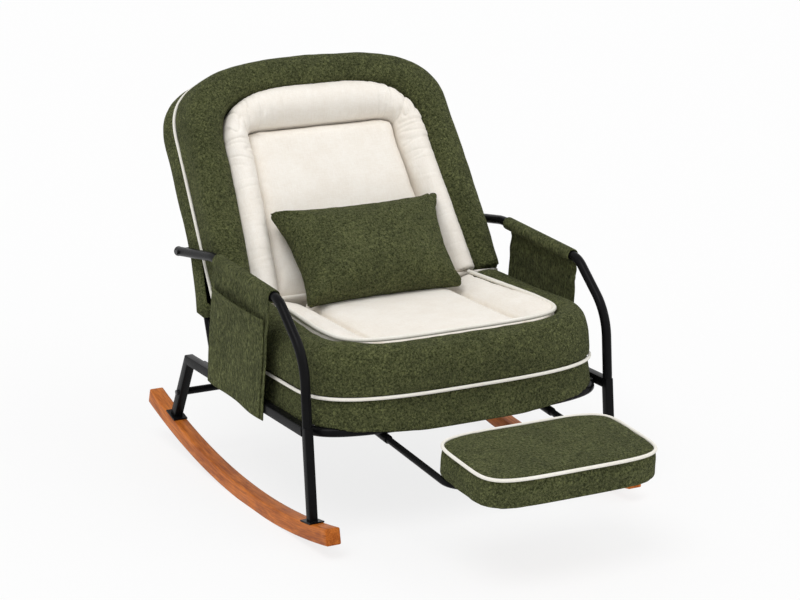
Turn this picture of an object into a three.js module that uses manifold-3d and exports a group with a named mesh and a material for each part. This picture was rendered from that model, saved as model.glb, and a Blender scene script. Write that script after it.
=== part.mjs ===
// A padded rocking chair: a black steel tube frame on two curved wooden runners, a thick seat and
// back, hanging arm covers with a pocket, a loose lumbar pillow and a footrest that pulls out.
// Millimetres. +Z is up, -Y is the front, and left and right are as seen from the front.
import * as THREE from "three";
import { mergeVertices } from "three/addons/utils/BufferGeometryUtils.js";
import Module from "manifold-3d";

const wasm = await Module();
wasm.setup();

// Fits that the whole chair shares
const weldGap = 0.3;
const softGap = 0.4;
const overrun = 6;
const roundSides = 12;
const smallSides = 8;

// Frame: tubes
const armSpread = 700;
const roundTube = 20;
const roundWall = 1.5;
const squareTube = 20;
const squareWall = 1.5;
const legTube = 18;
const crossTube = 16;

// Frame: places, seen from the side
const railTop = 240;
const railRearY = 184;
const legTopY = -391.5;
const frontFootY = -410;
const rearFootY = 257;
const kneeY = -381;
const kneeHeight = 378;
const armFrontY = -270;
const armFrontHeight = 471;
const armRearY = 45;
const armRearHeight = 488;
const armRearFall = 0.15; // drop for each unit run behind the rear bend, a slope
const armBend = 60;
const crossbarHeight = 145;

// Runners
const rockRadius = 1760;
const rockContactY = -160;
const rockFrontY = -506;
const rockRearY = 380;
const rockHeight = 34;
const rockThickness = 32;
const rockEdge = 2.5;
const rockFlat = 200; // the runners are a little flat where the chair rests
const rockFrontSteps = 7;
const rockRearSteps = 12;
const footPlate = 3;
const footPlateLength = 44;
const boltShank = 6;
const boltHead = 12;
const boltHeadHeight = 4;
const boltSink = 2;
const boltHoleClearance = 0.4;

// Seat frame
const hoopDrop = 18;
const hoopRearY = 150;
const hoopCorner = 105;
const hoopSetback = 24;
const strapThickness = 2.4;
const strapWidth = 90;
const seatStrapCount = 3;
const strapOverlap = 8;
const guideBarSetback = 265;

// Seat cushion
const seatSideGap = 6; // from the cushion to each side rail
const seatFrontY = -450;
const seatCornerRun = 172;
const seatBaseHeight = 56;
const seatBaseRearY = 96;
const seatBaseRearTaper = 12;
const seatBaseNeck = 50;
const seatBaseNeckRun = 30;
const seatTopHeight = 108;
const seatTopRearY = -4;
const seatBorderWidth = 76;
const seatCreamRearTaper = 20;
const seatCreamFrontY = -393;
const seatCreamCornerRun = 150;
const seatCreamDepth = 8;
const bolsterWidth = 88;
const seatPadDepth = 9;
const padCrownHeight = 4;

// Back cushion, in the plane of its front: widths across, heights up along the lean
const backLean = 33.4;
const backFootY = 3.5;
const backSideGap = 5; // from the cushion to each arm tube
const backShoulderTaper = 13;
const backShoulderHeight = 370;
const backHeight = 546;
const backBorderDepth = 80;
const backBorderCrown = 5;
const coverFootFlare = 17;
const coverWaistHeight = 150;
const coverWall = 3;
const basePadThickness = 20;
const frameSetback = 42;
const borderFootWidth = 69;
const borderShoulderWidth = 79;
const borderTopWidth = 78;
const creamShoulderHeight = 300;
const creamCrown = 8;
const creamFootWidth = 59;
const creamShoulderWidth = 62;
const creamTopWidth = 94;
const panelShoulderHeight = 330;
const panelDepth = 30;
const cornerPower = 3.2;
const creamCornerPower = 4.4;
const panelCornerPower = 9;
const postSplay = 10;
const postJointHeight = 320;
const bossRadius = 8;
const armEndMargin = 16;

// Piping
const pipingDiameter = 7;
const pipingInset = 2;
const seamDepth = 10;
const seamHeight = 9;

// Lumbar pillow
const pillowWidth = 384;
const pillowHeight = 218;
const pillowThickness = 116;
const pillowLean = 48;
const pillowRearRun = 7.25;
const pillowMiddleHeight = 77.29;

// Arm covers
const coverClothThickness = 3;
const coverFrontSetback = 21;
const coverRearSetback = 26;
const coverHangLength = 270;
const coverSkewRun = 22;
const pocketThickness = 5;
const pocketTopDepth = 52;
const pocketInset = 5;

// Footrest
const slideTube = 14;
const slideWall = 1.4;
const guideTube = 18;
const slideHalfSpread = 190;
const slideFall = 5;
const slideBend = 42;
const slideOverlap = 75;
const footrestAxisY = -690;
const slideClearance = 0.35;
const padHalfWidth = 200;
const padFront = 150;
const padRear = 87;
const padHeight = 66;
const padCornerPower = 5;
const boardThickness = 9;
const boardInset = 22;
const boardStandoff = 1.4;
const clipWidth = 26;
const clipWall = 3;
const clipHalfSpread = 95;
const plugFlange = 2;
const plugDepth = 12;

// Shares of the width and height that draw the padded shapes
const borderShares = [
  [0.96, 0.42],
  [0.93, 0.68],
  [0.8, 0.9],
  [0.58, 1],
  [0.34, 0.985],
  [0.12, 0.9],
];
const seatBorderShares = [
  [0.985, 0.34],
  [0.93, 0.6],
  [0.8, 0.83],
  [0.58, 0.97],
  [0.34, 1],
  [0.12, 0.97],
];
const creamShares = [
  [0.97, 0.82],
  [0.82, 0.96],
  [0.58, 1],
  [0.34, 0.97],
  [0.14, 0.85],
];
const innerEdgeShare = 0.74;
const creamInnerEdgeShare = 0.6;
const creamOuterEdgeShare = 0.7;
const seatInnerEdgeShare = 0.9;
const rearCornerShares = [
  [0.965, 0],
  [0.99, 0.14],
  [1, 0.4],
  [1, 0.85],
  [0.99, 1],
];
const baseRingShares = [
  [0.955, 0],
  [0.985, 0.1],
  [1, 0.3],
  [1, 0.78],
  [0.975, 1],
];
const basePadShares = [
  [0.985, 0],
  [0.99, 0.4],
  [0.99, 1],
];
const panelRingShares = [
  [0.995, 0],
  [1, 0.2],
  [1, 0.82],
  [0.96, 0.92],
  [0.82, 0.98],
  [0.5, 1],
];
const padRingShares = [
  [0.965, 0],
  [0.99, 0.08],
  [1, 0.3],
  [0.998, 0.78],
  [0.955, 0.84],
  [0.955, 0.965],
  [0.9, 0.985],
  [0.55, 1],
];
const grooveRing = padRingShares[4];
const grooveTopRing = padRingShares[5];

// Derived sizes of the frame
const halfSpread = armSpread / 2;
const tubeRadius = roundTube / 2;
const railZ = railTop - squareTube / 2;
const hoopZ = railTop - hoopDrop;
const hoopLegX = halfSpread - squareTube / 2 - weldGap - tubeRadius;
const strapZ = hoopZ + tubeRadius + weldGap;
const seatBottom = strapZ + strapThickness + softGap;
const seatSeam = seatBottom + seatBaseHeight;
const seatTop = seatSeam + softGap + seatTopHeight;
const lean = THREE.MathUtils.degToRad(backLean);

// Derived widths and heights of the cushions
const seatHalfWidth = halfSpread - squareTube / 2 - seatSideGap;
const seatBaseRearHalfWidth = seatHalfWidth - seatBaseRearTaper;
const seatCreamHalfWidth = seatHalfWidth - seatBorderWidth;
const seatCreamRearHalfWidth = seatCreamHalfWidth - seatCreamRearTaper;
const bolsterInnerX = seatCreamHalfWidth - bolsterWidth;
const backHalfWidth = halfSpread - tubeRadius - backSideGap;
const backShoulderHalfWidth = backHalfWidth - backShoulderTaper;
const coverFootHalfWidth = backHalfWidth + coverFootFlare;
const creamFootHalfWidth = backHalfWidth - borderFootWidth;
const creamShoulderHalfWidth = backShoulderHalfWidth - borderShoulderWidth;
const creamHeight = backHeight - borderTopWidth;
const panelFootHalfWidth = creamFootHalfWidth - creamFootWidth;
const panelShoulderHalfWidth = creamShoulderHalfWidth - creamShoulderWidth;
const panelHeight = creamHeight - creamTopWidth;

// Materials
const steel = { color: 0x18191b, roughness: 0.42, metalness: 0.6 };
const wood = { color: 0xc47a3c, roughness: 0.5, metalness: 0 };
const greenCloth = { color: 0x4a5a30, roughness: 0.95, metalness: 0 };
const creamCloth = { color: 0xe9e1d2, roughness: 0.95, metalness: 0 };
const pipingCloth = { color: 0xefe9dc, roughness: 0.9, metalness: 0 };
const webbing = { color: 0x26272a, roughness: 0.9, metalness: 0 };
const plastic = { color: 0x111214, roughness: 0.6, metalness: 0 };
const plywood = { color: 0xb08a5e, roughness: 0.7, metalness: 0 };
const zinc = { color: 0x6f7276, roughness: 0.35, metalness: 0.9 };

const chair = new THREE.Group();

function add(name, geometry, finish, parent = chair) {
  const mesh = new THREE.Mesh(geometry, new THREE.MeshStandardMaterial(finish));
  mesh.name = name;
  parent.add(mesh);
  return mesh;
}

const sides = [
  ["left", -1],
  ["right", 1],
];

// Closed surfaces: faces are turned outwards when the volume comes out negative
function closed(points, faces) {
  const volume = faces.reduce((sum, [a, b, c]) => {
    const cross = new THREE.Vector3().crossVectors(points[b], points[c]);
    return sum + points[a].dot(cross);
  }, 0);
  const turned = volume < 0 ? faces.map(([a, b, c]) => [a, c, b]) : faces;
  const geometry = new THREE.BufferGeometry().setFromPoints(points);
  geometry.setIndex(turned.flat());
  return geometry;
}

// A solid through closed sections with like counts of points, closed by a fan at each end
function loft(sections, startCentre, endCentre) {
  const count = sections[0].length;
  const centre = (section) =>
    section.reduce((sum, p) => sum.add(p), new THREE.Vector3()).divideScalar(count);
  const points = sections.flat();
  const faces = [];
  for (let i = 0; i + 1 < sections.length; i += 1) {
    for (let k = 0; k < count; k += 1) {
      const a = i * count + k;
      const b = i * count + ((k + 1) % count);
      faces.push([a, b, a + count], [b, b + count, a + count]);
    }
  }
  const first = points.length;
  points.push(startCentre || centre(sections[0]));
  points.push(endCentre || centre(sections[sections.length - 1]));
  const lastRing = (sections.length - 1) * count;
  for (let k = 0; k < count; k += 1) {
    const next = (k + 1) % count;
    faces.push([first, next, k]);
    faces.push([first + 1, lastRing + k, lastRing + next]);
  }
  return closed(points, faces);
}

function solid(geometry) {
  const bare = new THREE.BufferGeometry();
  bare.setAttribute("position", geometry.getAttribute("position"));
  if (geometry.index) bare.setIndex(geometry.index);
  const merged = mergeVertices(bare, 1e-4);
  return new wasm.Manifold(
    new wasm.Mesh({
      numProp: 3,
      vertProperties: merged.attributes.position.array,
      triVerts: new Uint32Array(merged.index.array),
    }),
  );
}

function surface(manifold) {
  const mesh = manifold.getMesh();
  const geometry = new THREE.BufferGeometry();
  geometry.setAttribute("position", new THREE.BufferAttribute(mesh.vertProperties, 3));
  geometry.setIndex(new THREE.BufferAttribute(mesh.triVerts, 1));
  return geometry;
}

function cut(geometry, ...tools) {
  return surface(tools.reduce((left, tool) => left.subtract(solid(tool)), solid(geometry)));
}

// Polygon with its corners on a circle of the given radius
function ring(radius, count) {
  return Array.from({ length: count }, (_, i) => {
    const angle = ((i + 0.5) / count) * 2 * Math.PI;
    return new THREE.Vector2(radius * Math.cos(angle), radius * Math.sin(angle));
  });
}

// Radius to the corners of a polygon that clears a circle inside it
function clearRadius(radius, count) {
  return radius / Math.cos(Math.PI / count);
}

// A run through given points, with one section at each point
class Run extends THREE.Curve {
  constructor(points) {
    super();
    this.points = points;
    this.steps = points.length - 1;
  }

  getPoint(u, target = new THREE.Vector3()) {
    return target.copy(this.points[Math.round(u * this.steps)]);
  }

  getPointAt(u, target) {
    return this.getPoint(u, target);
  }

  getTangentAt(u, target = new THREE.Vector3()) {
    const i = Math.round(u * this.steps);
    const here = this.points[i];
    const before = i > 0 ? here.clone().sub(this.points[i - 1]).normalize() : null;
    const after = i < this.steps ? this.points[i + 1].clone().sub(here).normalize() : null;
    target.set(0, 0, 0);
    if (before) target.add(before);
    if (after) target.add(after);
    return target.normalize();
  }
}

function sweep(outline, hole, points) {
  const shape = new THREE.Shape(outline);
  if (hole) shape.holes.push(new THREE.Path(hole));
  const run = new Run(points);
  return new THREE.ExtrudeGeometry(shape, { steps: run.steps, extrudePath: run });
}

function tube(points, diameter, wall, count = roundSides) {
  const hole = wall ? ring(diameter / 2 - wall, count) : null;
  return sweep(ring(diameter / 2, count), hole, points);
}

// Points of a path through corners, each corner rounded by an arc
function bent(corners, radii, arcSteps) {
  const points = [corners[0]];
  for (let i = 1; i + 1 < corners.length; i += 1) {
    const corner = corners[i];
    const back = corners[i - 1].clone().sub(corner).normalize();
    const on = corners[i + 1].clone().sub(corner).normalize();
    const half = back.angleTo(on) / 2;
    const reach = radii[i - 1] / Math.tan(half);
    const start = corner.clone().addScaledVector(back, reach);
    const end = corner.clone().addScaledVector(on, reach);
    const middle = back.clone().add(on).normalize();
    const centre = corner.clone().addScaledVector(middle, radii[i - 1] / Math.sin(half));
    const from = start.sub(centre);
    const to = end.sub(centre);
    const sweepAngle = from.angleTo(to);
    const axis = new THREE.Vector3().crossVectors(from, to).normalize();
    for (let k = 0; k <= arcSteps; k += 1) {
      const arm = from.clone().applyAxisAngle(axis, (sweepAngle * k) / arcSteps);
      points.push(arm.add(centre));
    }
  }
  points.push(corners[corners.length - 1]);
  return points;
}

const at = (x, y, z) => new THREE.Vector3(x, y, z);

// A straight tube in a side plane, with each end cut along a plane through its end point
function member(section, hole, from, to, fromNormal, toNormal) {
  const along = to.clone().sub(from);
  const length = along.length();
  along.normalize();
  const tilt = Math.atan2(-along.y, along.z);
  const across = at(0, Math.cos(tilt), Math.sin(tilt));
  const shape = new THREE.Shape(section);
  if (hole) shape.holes.push(new THREE.Path(hole));
  const geometry = new THREE.ExtrudeGeometry(shape, { depth: length, bevelEnabled: false });
  const place = geometry.getAttribute("position");
  const slope = (normal) => (normal ? -normal.dot(across) / normal.dot(along) : 0);
  const slopes = [slope(fromNormal), slope(toNormal)];
  for (let i = 0; i < place.count; i += 1) {
    const end = place.getZ(i) > length / 2 ? 1 : 0;
    place.setZ(i, place.getZ(i) + place.getY(i) * slopes[end]);
  }
  geometry.rotateX(tilt);
  geometry.translate(from.x, from.y, from.z);
  return geometry;
}

function square(side) {
  const half = side / 2;
  return [
    new THREE.Vector2(-half, -half),
    new THREE.Vector2(half, -half),
    new THREE.Vector2(half, half),
    new THREE.Vector2(-half, half),
  ];
}

function acrossBar(section, hole, x0, x1, y, z) {
  const shape = new THREE.Shape(section);
  if (hole) shape.holes.push(new THREE.Path(hole));
  const geometry = new THREE.ExtrudeGeometry(shape, { depth: x1 - x0, bevelEnabled: false });
  return geometry.rotateY(Math.PI / 2).translate(x0, y, z);
}

// A turned piece on the Z axis
function turned(profile, count = roundSides) {
  return new THREE.LatheGeometry(
    profile.map(([r, z]) => new THREE.Vector2(r, z)),
    count,
  ).rotateX(Math.PI / 2);
}

function rod(radius, length, count = roundSides) {
  return turned(
    [
      [0, 0],
      [radius, 0],
      [radius, length],
      [0, length],
    ],
    count,
  );
}

// Runner arcs: place on a circle of the runner's centre, and the direction out of it
const rockCentreZ = Math.sqrt(rockRadius ** 2 - (rockFlat / 2) ** 2);
const arcAngle = (radius, y) => Math.asin((y - rockContactY) / radius);
const arcZ = (radius, angle) => rockCentreZ - radius * Math.cos(angle);

function upFromRunner(y) {
  const angle = arcAngle(rockRadius - rockHeight, y);
  const z = arcZ(rockRadius - rockHeight, angle);
  return { z, angle, normal: at(0, -Math.sin(angle), Math.cos(angle)) };
}

function runnerGeometry() {
  const outer = [];
  const inner = [];
  const spread = (from, to, steps) =>
    Array.from({ length: steps + 1 }, (_, i) => from + ((to - from) * i) / steps);
  const flatEdge = arcAngle(rockRadius, rockContactY + rockFlat / 2);
  const angles = [
    ...spread(arcAngle(rockRadius, rockFrontY), -flatEdge, rockFrontSteps),
    ...spread(flatEdge, arcAngle(rockRadius, rockRearY), rockRearSteps),
  ];
  for (const angle of angles) {
    const point = (radius) =>
      new THREE.Vector2(rockContactY + radius * Math.sin(angle), arcZ(radius, angle));
    outer.push(point(rockRadius - rockEdge));
    inner.unshift(point(rockRadius - rockHeight + rockEdge));
  }
  const geometry = new THREE.ExtrudeGeometry(new THREE.Shape([...outer, ...inner]), {
    depth: rockThickness - 2 * rockEdge,
    bevelEnabled: true,
    bevelSize: rockEdge,
    bevelThickness: rockEdge,
    bevelSegments: 1,
  });
  geometry.translate(0, 0, -rockThickness / 2 + rockEdge);
  const basis = new THREE.Matrix4().makeBasis(at(0, 1, 0), at(0, 0, 1), at(1, 0, 0));
  return geometry.applyMatrix4(basis);
}

// Where each leg stands: the point on top of its foot plate and the way up from the runner
function footing(y) {
  const { z, angle, normal } = upFromRunner(y);
  const lift = (by) => at(0, y, z).addScaledVector(normal, by);
  return { angle, normal, lift };
}

const feet = [
  ["front", frontFootY],
  ["rear", rearFootY],
].map(([name, y]) => ({ name, ...footing(y) }));

const plateTop = weldGap + footPlate;
const boltReach = rockHeight - boltSink - boltHeadHeight;

function boltTool(foot, headRadius, shankRadius, extra) {
  const top = plateTop + extra;
  const headTop = -boltReach;
  const bottom = headTop - boltHeadHeight - boltSink * 2 - extra;
  const profile = [
    [0, bottom],
    [headRadius, bottom],
    [headRadius, headTop + extra],
    [shankRadius, headTop + extra],
    [shankRadius, top],
    [0, top],
  ];
  return seated(turned(profile), foot, 0);
}

// Turns a piece made on the Z axis to stand on the runner at a foot
function seated(geometry, foot, x) {
  const origin = foot.lift(0);
  return geometry.rotateX(foot.angle).translate(x, origin.y, origin.z);
}

const boltGap = boltHoleClearance;
const runnerHoles = feet.map((foot) =>
  boltTool(foot, boltHead / 2 + boltGap, boltShank / 2 + boltGap, boltGap),
);

for (const [side, sign] of sides) {
  const x = sign * halfSpread;
  const runner = cut(runnerGeometry(), ...runnerHoles);
  add(`rocker_${side}`, runner.translate(x, 0, 0), wood);
  for (const foot of feet) {
    const plate = new THREE.BoxGeometry(rockThickness, footPlateLength, footPlate);
    plate.translate(0, 0, weldGap + footPlate / 2);
    const hole = rod(boltShank / 2 + boltGap, footPlate + 2 * overrun).translate(0, 0, -overrun);
    add(`foot_plate_${foot.name}_${side}`, seated(cut(plate, hole), foot, x), steel);
    const bolt = turned([
      [0, -boltReach - boltHeadHeight],
      [boltHead / 2, -boltReach - boltHeadHeight],
      [boltHead / 2, -boltReach],
      [boltShank / 2, -boltReach],
      [boltShank / 2, plateTop - weldGap],
      [0, plateTop - weldGap],
    ]);
    add(`rocker_bolt_${foot.name}_${side}`, seated(bolt, foot, x), zinc);
  }
}

// Legs and rails
const [frontFoot, rearFoot] = feet;
const legTop = at(0, legTopY, railTop);
const legFoot = frontFoot.lift(plateTop + weldGap);
const legAlong = legFoot.clone().sub(legTop).normalize();
const rearLegFoot = rearFoot.lift(plateTop + weldGap);
// The rail's centre line meets the rear leg's where the mitre puts the top corner at railRearY
const slantGuess = Math.atan2(rearLegFoot.y - railRearY, railZ - rearLegFoot.z);
const rearTurn = Math.PI / 2 - slantGuess;
const railEnd = at(0, railRearY - (squareTube / 2) * Math.tan(rearTurn / 2), railZ);
const rearAlong = rearLegFoot.clone().sub(railEnd).normalize();
const mitreNormal = at(0, 1, 0).add(rearAlong).normalize();
const railStartShare = (railTop - railZ) / (railTop - legFoot.z);
const railStart = legTop.clone().lerp(legFoot, railStartShare);
railStart.z = railZ;
const legNormal = at(0, -legAlong.z, legAlong.y);
railStart.y += (legTube / 2 + weldGap) / Math.abs(legAlong.z);
const crossbarShare = (railZ - crossbarHeight) / (railZ - rearLegFoot.z);
const crossbarPlace = railEnd.clone().lerp(rearLegFoot, crossbarShare);
const squareHole = square(squareTube - 2 * squareWall);

function boltAcross(headRadius, headHeight, shankRadius, shankLength) {
  return turned([
    [0, 0],
    [shankRadius, 0],
    [shankRadius, shankLength],
    [headRadius, shankLength],
    [headRadius, shankLength + headHeight],
    [0, shankLength + headHeight],
  ]);
}

for (const [side, sign] of sides) {
  const x = sign * halfSpread;
  const shift = at(x, 0, 0);
  const legHole = square(legTube - 2 * squareWall);
  const leg = member(square(legTube), legHole, legTop, legFoot, at(0, 0, 1), frontFoot.normal);
  add(`front_leg_${side}`, leg.translate(x, 0, 0), steel);
  const rail = member(square(squareTube), squareHole, railStart, railEnd, legNormal, mitreNormal);
  add(`side_rail_${side}`, rail.translate(x, 0, 0), steel);
  const start = railEnd.clone().addScaledVector(rearAlong, weldGap);
  const rear = member(
    square(squareTube),
    squareHole,
    start,
    rearLegFoot,
    mitreNormal,
    rearFoot.normal,
  );
  const hole = rod(boltShank / 2 + boltGap, squareTube + 2 * overrun)
    .rotateY(Math.PI / 2)
    .translate(-squareTube / 2 - overrun, crossbarPlace.y, crossbarPlace.z);
  add(`rear_leg_${side}`, cut(rear, hole).translate(x, 0, 0), steel);
  const bolt = boltAcross(
    boltHead / 2,
    boltHeadHeight,
    boltShank / 2,
    squareTube + weldGap + overrun * 2,
  );
  bolt.rotateY((sign * Math.PI) / 2);
  bolt.translate(-sign * (squareTube / 2 + overrun * 2), crossbarPlace.y, crossbarPlace.z);
  add(`crossbar_bolt_${side}`, bolt.translate(shift.x, 0, 0), zinc);
}

const crossbarReach = halfSpread - squareTube / 2 - weldGap;
const crossHole = ring(crossTube / 2 - roundWall, roundSides);
add(
  "rear_crossbar",
  acrossBar(
    ring(crossTube / 2, roundSides),
    crossHole,
    -crossbarReach,
    crossbarReach,
    crossbarPlace.y,
    crossbarPlace.z,
  ),
  steel,
);

// The back's own plane: u across, v up along the lean and w out of its front
const backGroup = new THREE.Group();
backGroup.position.set(0, backFootY, seatTop);
backGroup.rotation.x = Math.PI / 2 - lean;
chair.add(backGroup);
const backUp = at(0, Math.sin(lean), Math.cos(lean));
const backOut = at(0, -Math.cos(lean), Math.sin(lean));
function onBack(u, v, w) {
  return at(u, backFootY, seatTop).addScaledVector(backUp, v).addScaledVector(backOut, w);
}

// Layers of the back, from its front plane backwards
const borderBase = -backBorderDepth;
const basePadFront = borderBase - softGap;
const basePadRear = basePadFront - basePadThickness;
const strapFront = borderBase - frameSetback;
const hoopFront = strapFront - strapThickness - weldGap;
const backHoopW = hoopFront - tubeRadius;
const coverFloor = hoopFront - roundTube - softGap;
const coverRear = coverFloor - coverWall;
const postInset = coverWall + softGap + tubeRadius;
const postU = backHalfWidth - postInset;

// An arch: up the left side through the given side points, over the top and down the right side
function arch(sidePoints, top, power, sideSteps = 2, cornerSteps = 8) {
  const [shoulder, start] = sidePoints[sidePoints.length - 1];
  const left = [];
  sidePoints.slice(0, -1).forEach(([half, height], i) => {
    const [nextHalf, nextHeight] = sidePoints[i + 1];
    for (let k = 0; k < sideSteps; k += 1) {
      const share = k / sideSteps;
      left.push([half + (nextHalf - half) * share, height + (nextHeight - height) * share]);
    }
  });
  for (let k = 0; k < cornerSteps; k += 1) {
    const angle = (k / cornerSteps) * (Math.PI / 2);
    left.push([
      shoulder * Math.cos(angle) ** (2 / power),
      start + (top - start) * Math.sin(angle) ** (2 / power),
    ]);
  }
  const points = left.map(([half, height]) => new THREE.Vector2(-half, height));
  const mirrored = left.map(([half, height]) => new THREE.Vector2(half, height)).reverse();
  return [...points, new THREE.Vector2(0, top), ...mirrored];
}

function backArch(inset) {
  return arch(
    [
      [backHalfWidth - inset, 0],
      [backShoulderHalfWidth - inset, backShoulderHeight],
    ],
    backHeight - inset,
    cornerPower,
    4,
  );
}

function coverArch(inset) {
  const waistShare = coverWaistHeight / backShoulderHeight;
  const waist = backHalfWidth + (backShoulderHalfWidth - backHalfWidth) * waistShare;
  return arch(
    [
      [coverFootHalfWidth - inset, 0],
      [waist - inset, coverWaistHeight],
      [backShoulderHalfWidth - inset, backShoulderHeight],
    ],
    backHeight - inset,
    cornerPower,
    2,
  );
}

function creamArch(inset) {
  return arch(
    [
      [creamFootHalfWidth - inset, 0],
      [creamShoulderHalfWidth - inset, creamShoulderHeight],
    ],
    creamHeight - inset,
    cornerPower,
    4,
  );
}

function panelArch(inset) {
  return arch(
    [
      [panelFootHalfWidth - inset, 0],
      [panelShoulderHalfWidth - inset, panelShoulderHeight],
    ],
    panelHeight - inset,
    panelCornerPower,
    4,
  );
}

// Back frame: two posts from the rails and an arch between them
const railLanding = railTop + weldGap;
const landingRun = (railLanding - seatTop - backHoopW * Math.sin(lean)) / Math.cos(lean);
const postFootU = halfSpread - postSplay;
const archShift = postInset;
const archCorners = arch(
  [
    [backShoulderHalfWidth - archShift, postJointHeight],
    [backShoulderHalfWidth - archShift, backShoulderHeight],
  ],
  backHeight - archShift,
  cornerPower,
  1,
);
const archPoints = archCorners.map((p) => onBack(p.x, p.y, backHoopW));
const jointU = backShoulderHalfWidth - archShift;
const waistU = postU - (postU - jointU) * (coverWaistHeight / postJointHeight);

function postPoints(sign, below) {
  const foot = onBack(sign * postFootU, landingRun, backHoopW);
  const waist = onBack(sign * waistU, coverWaistHeight, backHoopW);
  const down = foot.clone().sub(waist).normalize();
  return [
    foot.addScaledVector(down, below),
    onBack(sign * waistU, coverWaistHeight, backHoopW),
    onBack(sign * jointU, postJointHeight - roundTube, backHoopW),
    onBack(sign * jointU, postJointHeight - weldGap, backHoopW),
  ];
}

// The post's foot is cut level so that it stands on the rail
function postGeometry(sign, diameter, wall, floor) {
  const long = tube(postPoints(sign, roundTube), diameter, wall);
  const block = new THREE.BoxGeometry(roundTube * 6, roundTube * 6, roundTube * 4);
  const foot = onBack(sign * postFootU, landingRun, backHoopW);
  block.translate(foot.x, foot.y, floor - roundTube * 2);
  return cut(long, block);
}

// Arm tubes: from beside the post forward along the arm, down the front and onto the leg
const armLineZ = (y) => armRearHeight - (y - armRearY) * armRearFall;
let armEndV = coverWaistHeight;
for (let i = 0; i < roundSides; i += 1) {
  const here = onBack(0, armEndV, backHoopW);
  armEndV += (armLineZ(here.y) - here.z) / Math.cos(lean);
}
const armEnd = onBack(0, armEndV, backHoopW);
const postShareAt = (v) =>
  v < coverWaistHeight
    ? postFootU + ((waistU - postFootU) * (v - landingRun)) / (coverWaistHeight - landingRun)
    : waistU + ((jointU - waistU) * (v - coverWaistHeight)) / (postJointHeight - coverWaistHeight);
const armBoltX = postShareAt(armEndV);
const armEndY = armEnd.y + armEndMargin;

function armPoints(sign) {
  const x = sign * halfSpread;
  return bent(
    [
      at(x, armEndY, armLineZ(armEndY)),
      at(x, armRearY, armRearHeight),
      at(x, armFrontY, armFrontHeight),
      at(x, kneeY, kneeHeight),
      at(x, legTopY, railTop + weldGap + overrun),
      at(x, legTopY, railTop + weldGap),
    ],
    [armBend * 2, armBend, armBend * 2, armBend * 2],
    4,
  );
}

// A round piece across the chair at the arm's bolt, between two distances from the middle
function atArmBolt(sign, radius, from, to) {
  const piece = rod(radius, to - from).rotateY((sign * Math.PI) / 2);
  return piece.translate(sign * from, armEnd.y, armEnd.z);
}

const tubeFlat = tubeRadius * Math.cos(Math.PI / roundSides);
const bossStart = armBoltX + tubeRadius - roundWall;
const bossEnd = halfSpread - tubeRadius - weldGap;
const boltHole = boltShank / 2 + boltGap;
for (const [side, sign] of sides) {
  const drill = atArmBolt(sign, boltHole, armBoltX, halfSpread + roundTube);
  const arm = tube(armPoints(sign), roundTube, roundWall);
  add(`arm_tube_${side}`, cut(arm, drill), steel);
  const post = solid(postGeometry(sign, roundTube, roundWall, railLanding));
  const boss = solid(atArmBolt(sign, bossRadius, bossStart, bossEnd));
  add(`back_post_${side}`, surface(post.add(boss).subtract(solid(drill))), steel);
  const headInner = halfSpread + tubeFlat + weldGap;
  const shankStart = armBoltX + tubeRadius;
  const bolt = boltAcross(boltHead / 2, boltHeadHeight, boltShank / 2, headInner - shankStart);
  bolt.rotateY((sign * Math.PI) / 2).translate(sign * shankStart, armEnd.y, armEnd.z);
  add(`arm_bolt_${side}`, bolt, zinc);
}
add("back_arch_tube", tube(archPoints, roundTube, roundWall), steel);

// One wide strap across the back frame
const backStrapHalf = jointU + tubeRadius - strapOverlap / 2;
const backStrapHeight = backShoulderHeight - coverWaistHeight;
const backStrap = new THREE.BoxGeometry(2 * backStrapHalf, backStrapHeight, strapThickness);
const backStrapV = coverWaistHeight + backStrapHeight / 2;
backStrap.translate(0, backStrapV, strapFront - strapThickness / 2);
add("back_strap", backStrap, webbing, backGroup);

// Rear cover: a cloth tray round the back frame, open to the front
function plate(outline, z0, z1) {
  const shape = new THREE.Shape(outline);
  const geometry = new THREE.ExtrudeGeometry(shape, { depth: z1 - z0, bevelEnabled: false });
  return geometry.translate(0, 0, z0);
}

// Rings of an outline drawn in by shares at share heights
function cushion(outline, shares, bottom, top, placed = (x, y, z) => at(x, y, z), rise = 0) {
  const box = new THREE.Box2().setFromPoints(outline);
  const centre = box.getCenter(new THREE.Vector2());
  const sections = shares.map(([size, height]) =>
    outline.map((p) => {
      const q = p.clone().sub(centre).multiplyScalar(size).add(centre);
      return placed(q.x, q.y, bottom + (top - bottom) * height);
    }),
  );
  const low = placed(centre.x, centre.y, bottom + (top - bottom) * shares[0][1]);
  const high = placed(centre.x, centre.y, top + rise);
  return loft(sections, low, high);
}

const coverSeamW = borderBase - seamHeight / 2;
const coverOuter = cushion(coverArch(0), rearCornerShares, coverRear, coverSeamW);
const raised = (outline, by) => outline.map((p) => new THREE.Vector2(p.x, Math.max(p.y, by)));
const hollowOutline = raised(coverArch(coverWall), coverWall);
const hollowTop = coverSeamW + overrun;
const coverHollow = cushion(hollowOutline, rearCornerShares, coverFloor, hollowTop);
backGroup.updateMatrix();
const backInverse = backGroup.matrix.clone().invert();
const fitted = roundTube + 2 * softGap;
const coverTools = sides.flatMap(([, sign]) => [
  tube(postPoints(sign, 0), fitted, 0),
  atArmBolt(sign, bossRadius + softGap, bossStart, halfSpread),
]);
coverTools.push(tube(archPoints, fitted, 0));
coverTools.forEach((tool) => tool.applyMatrix4(backInverse));
add("back_cover", cut(coverOuter, coverHollow, ...coverTools), greenCloth, backGroup);

const basePadInset = coverWall + softGap;
const basePadOutline = raised(backArch(basePadInset), basePadInset);
add(
  "back_base_pad",
  cushion(basePadOutline, basePadShares, basePadRear, basePadFront),
  webbing,
  backGroup,
);

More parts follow.
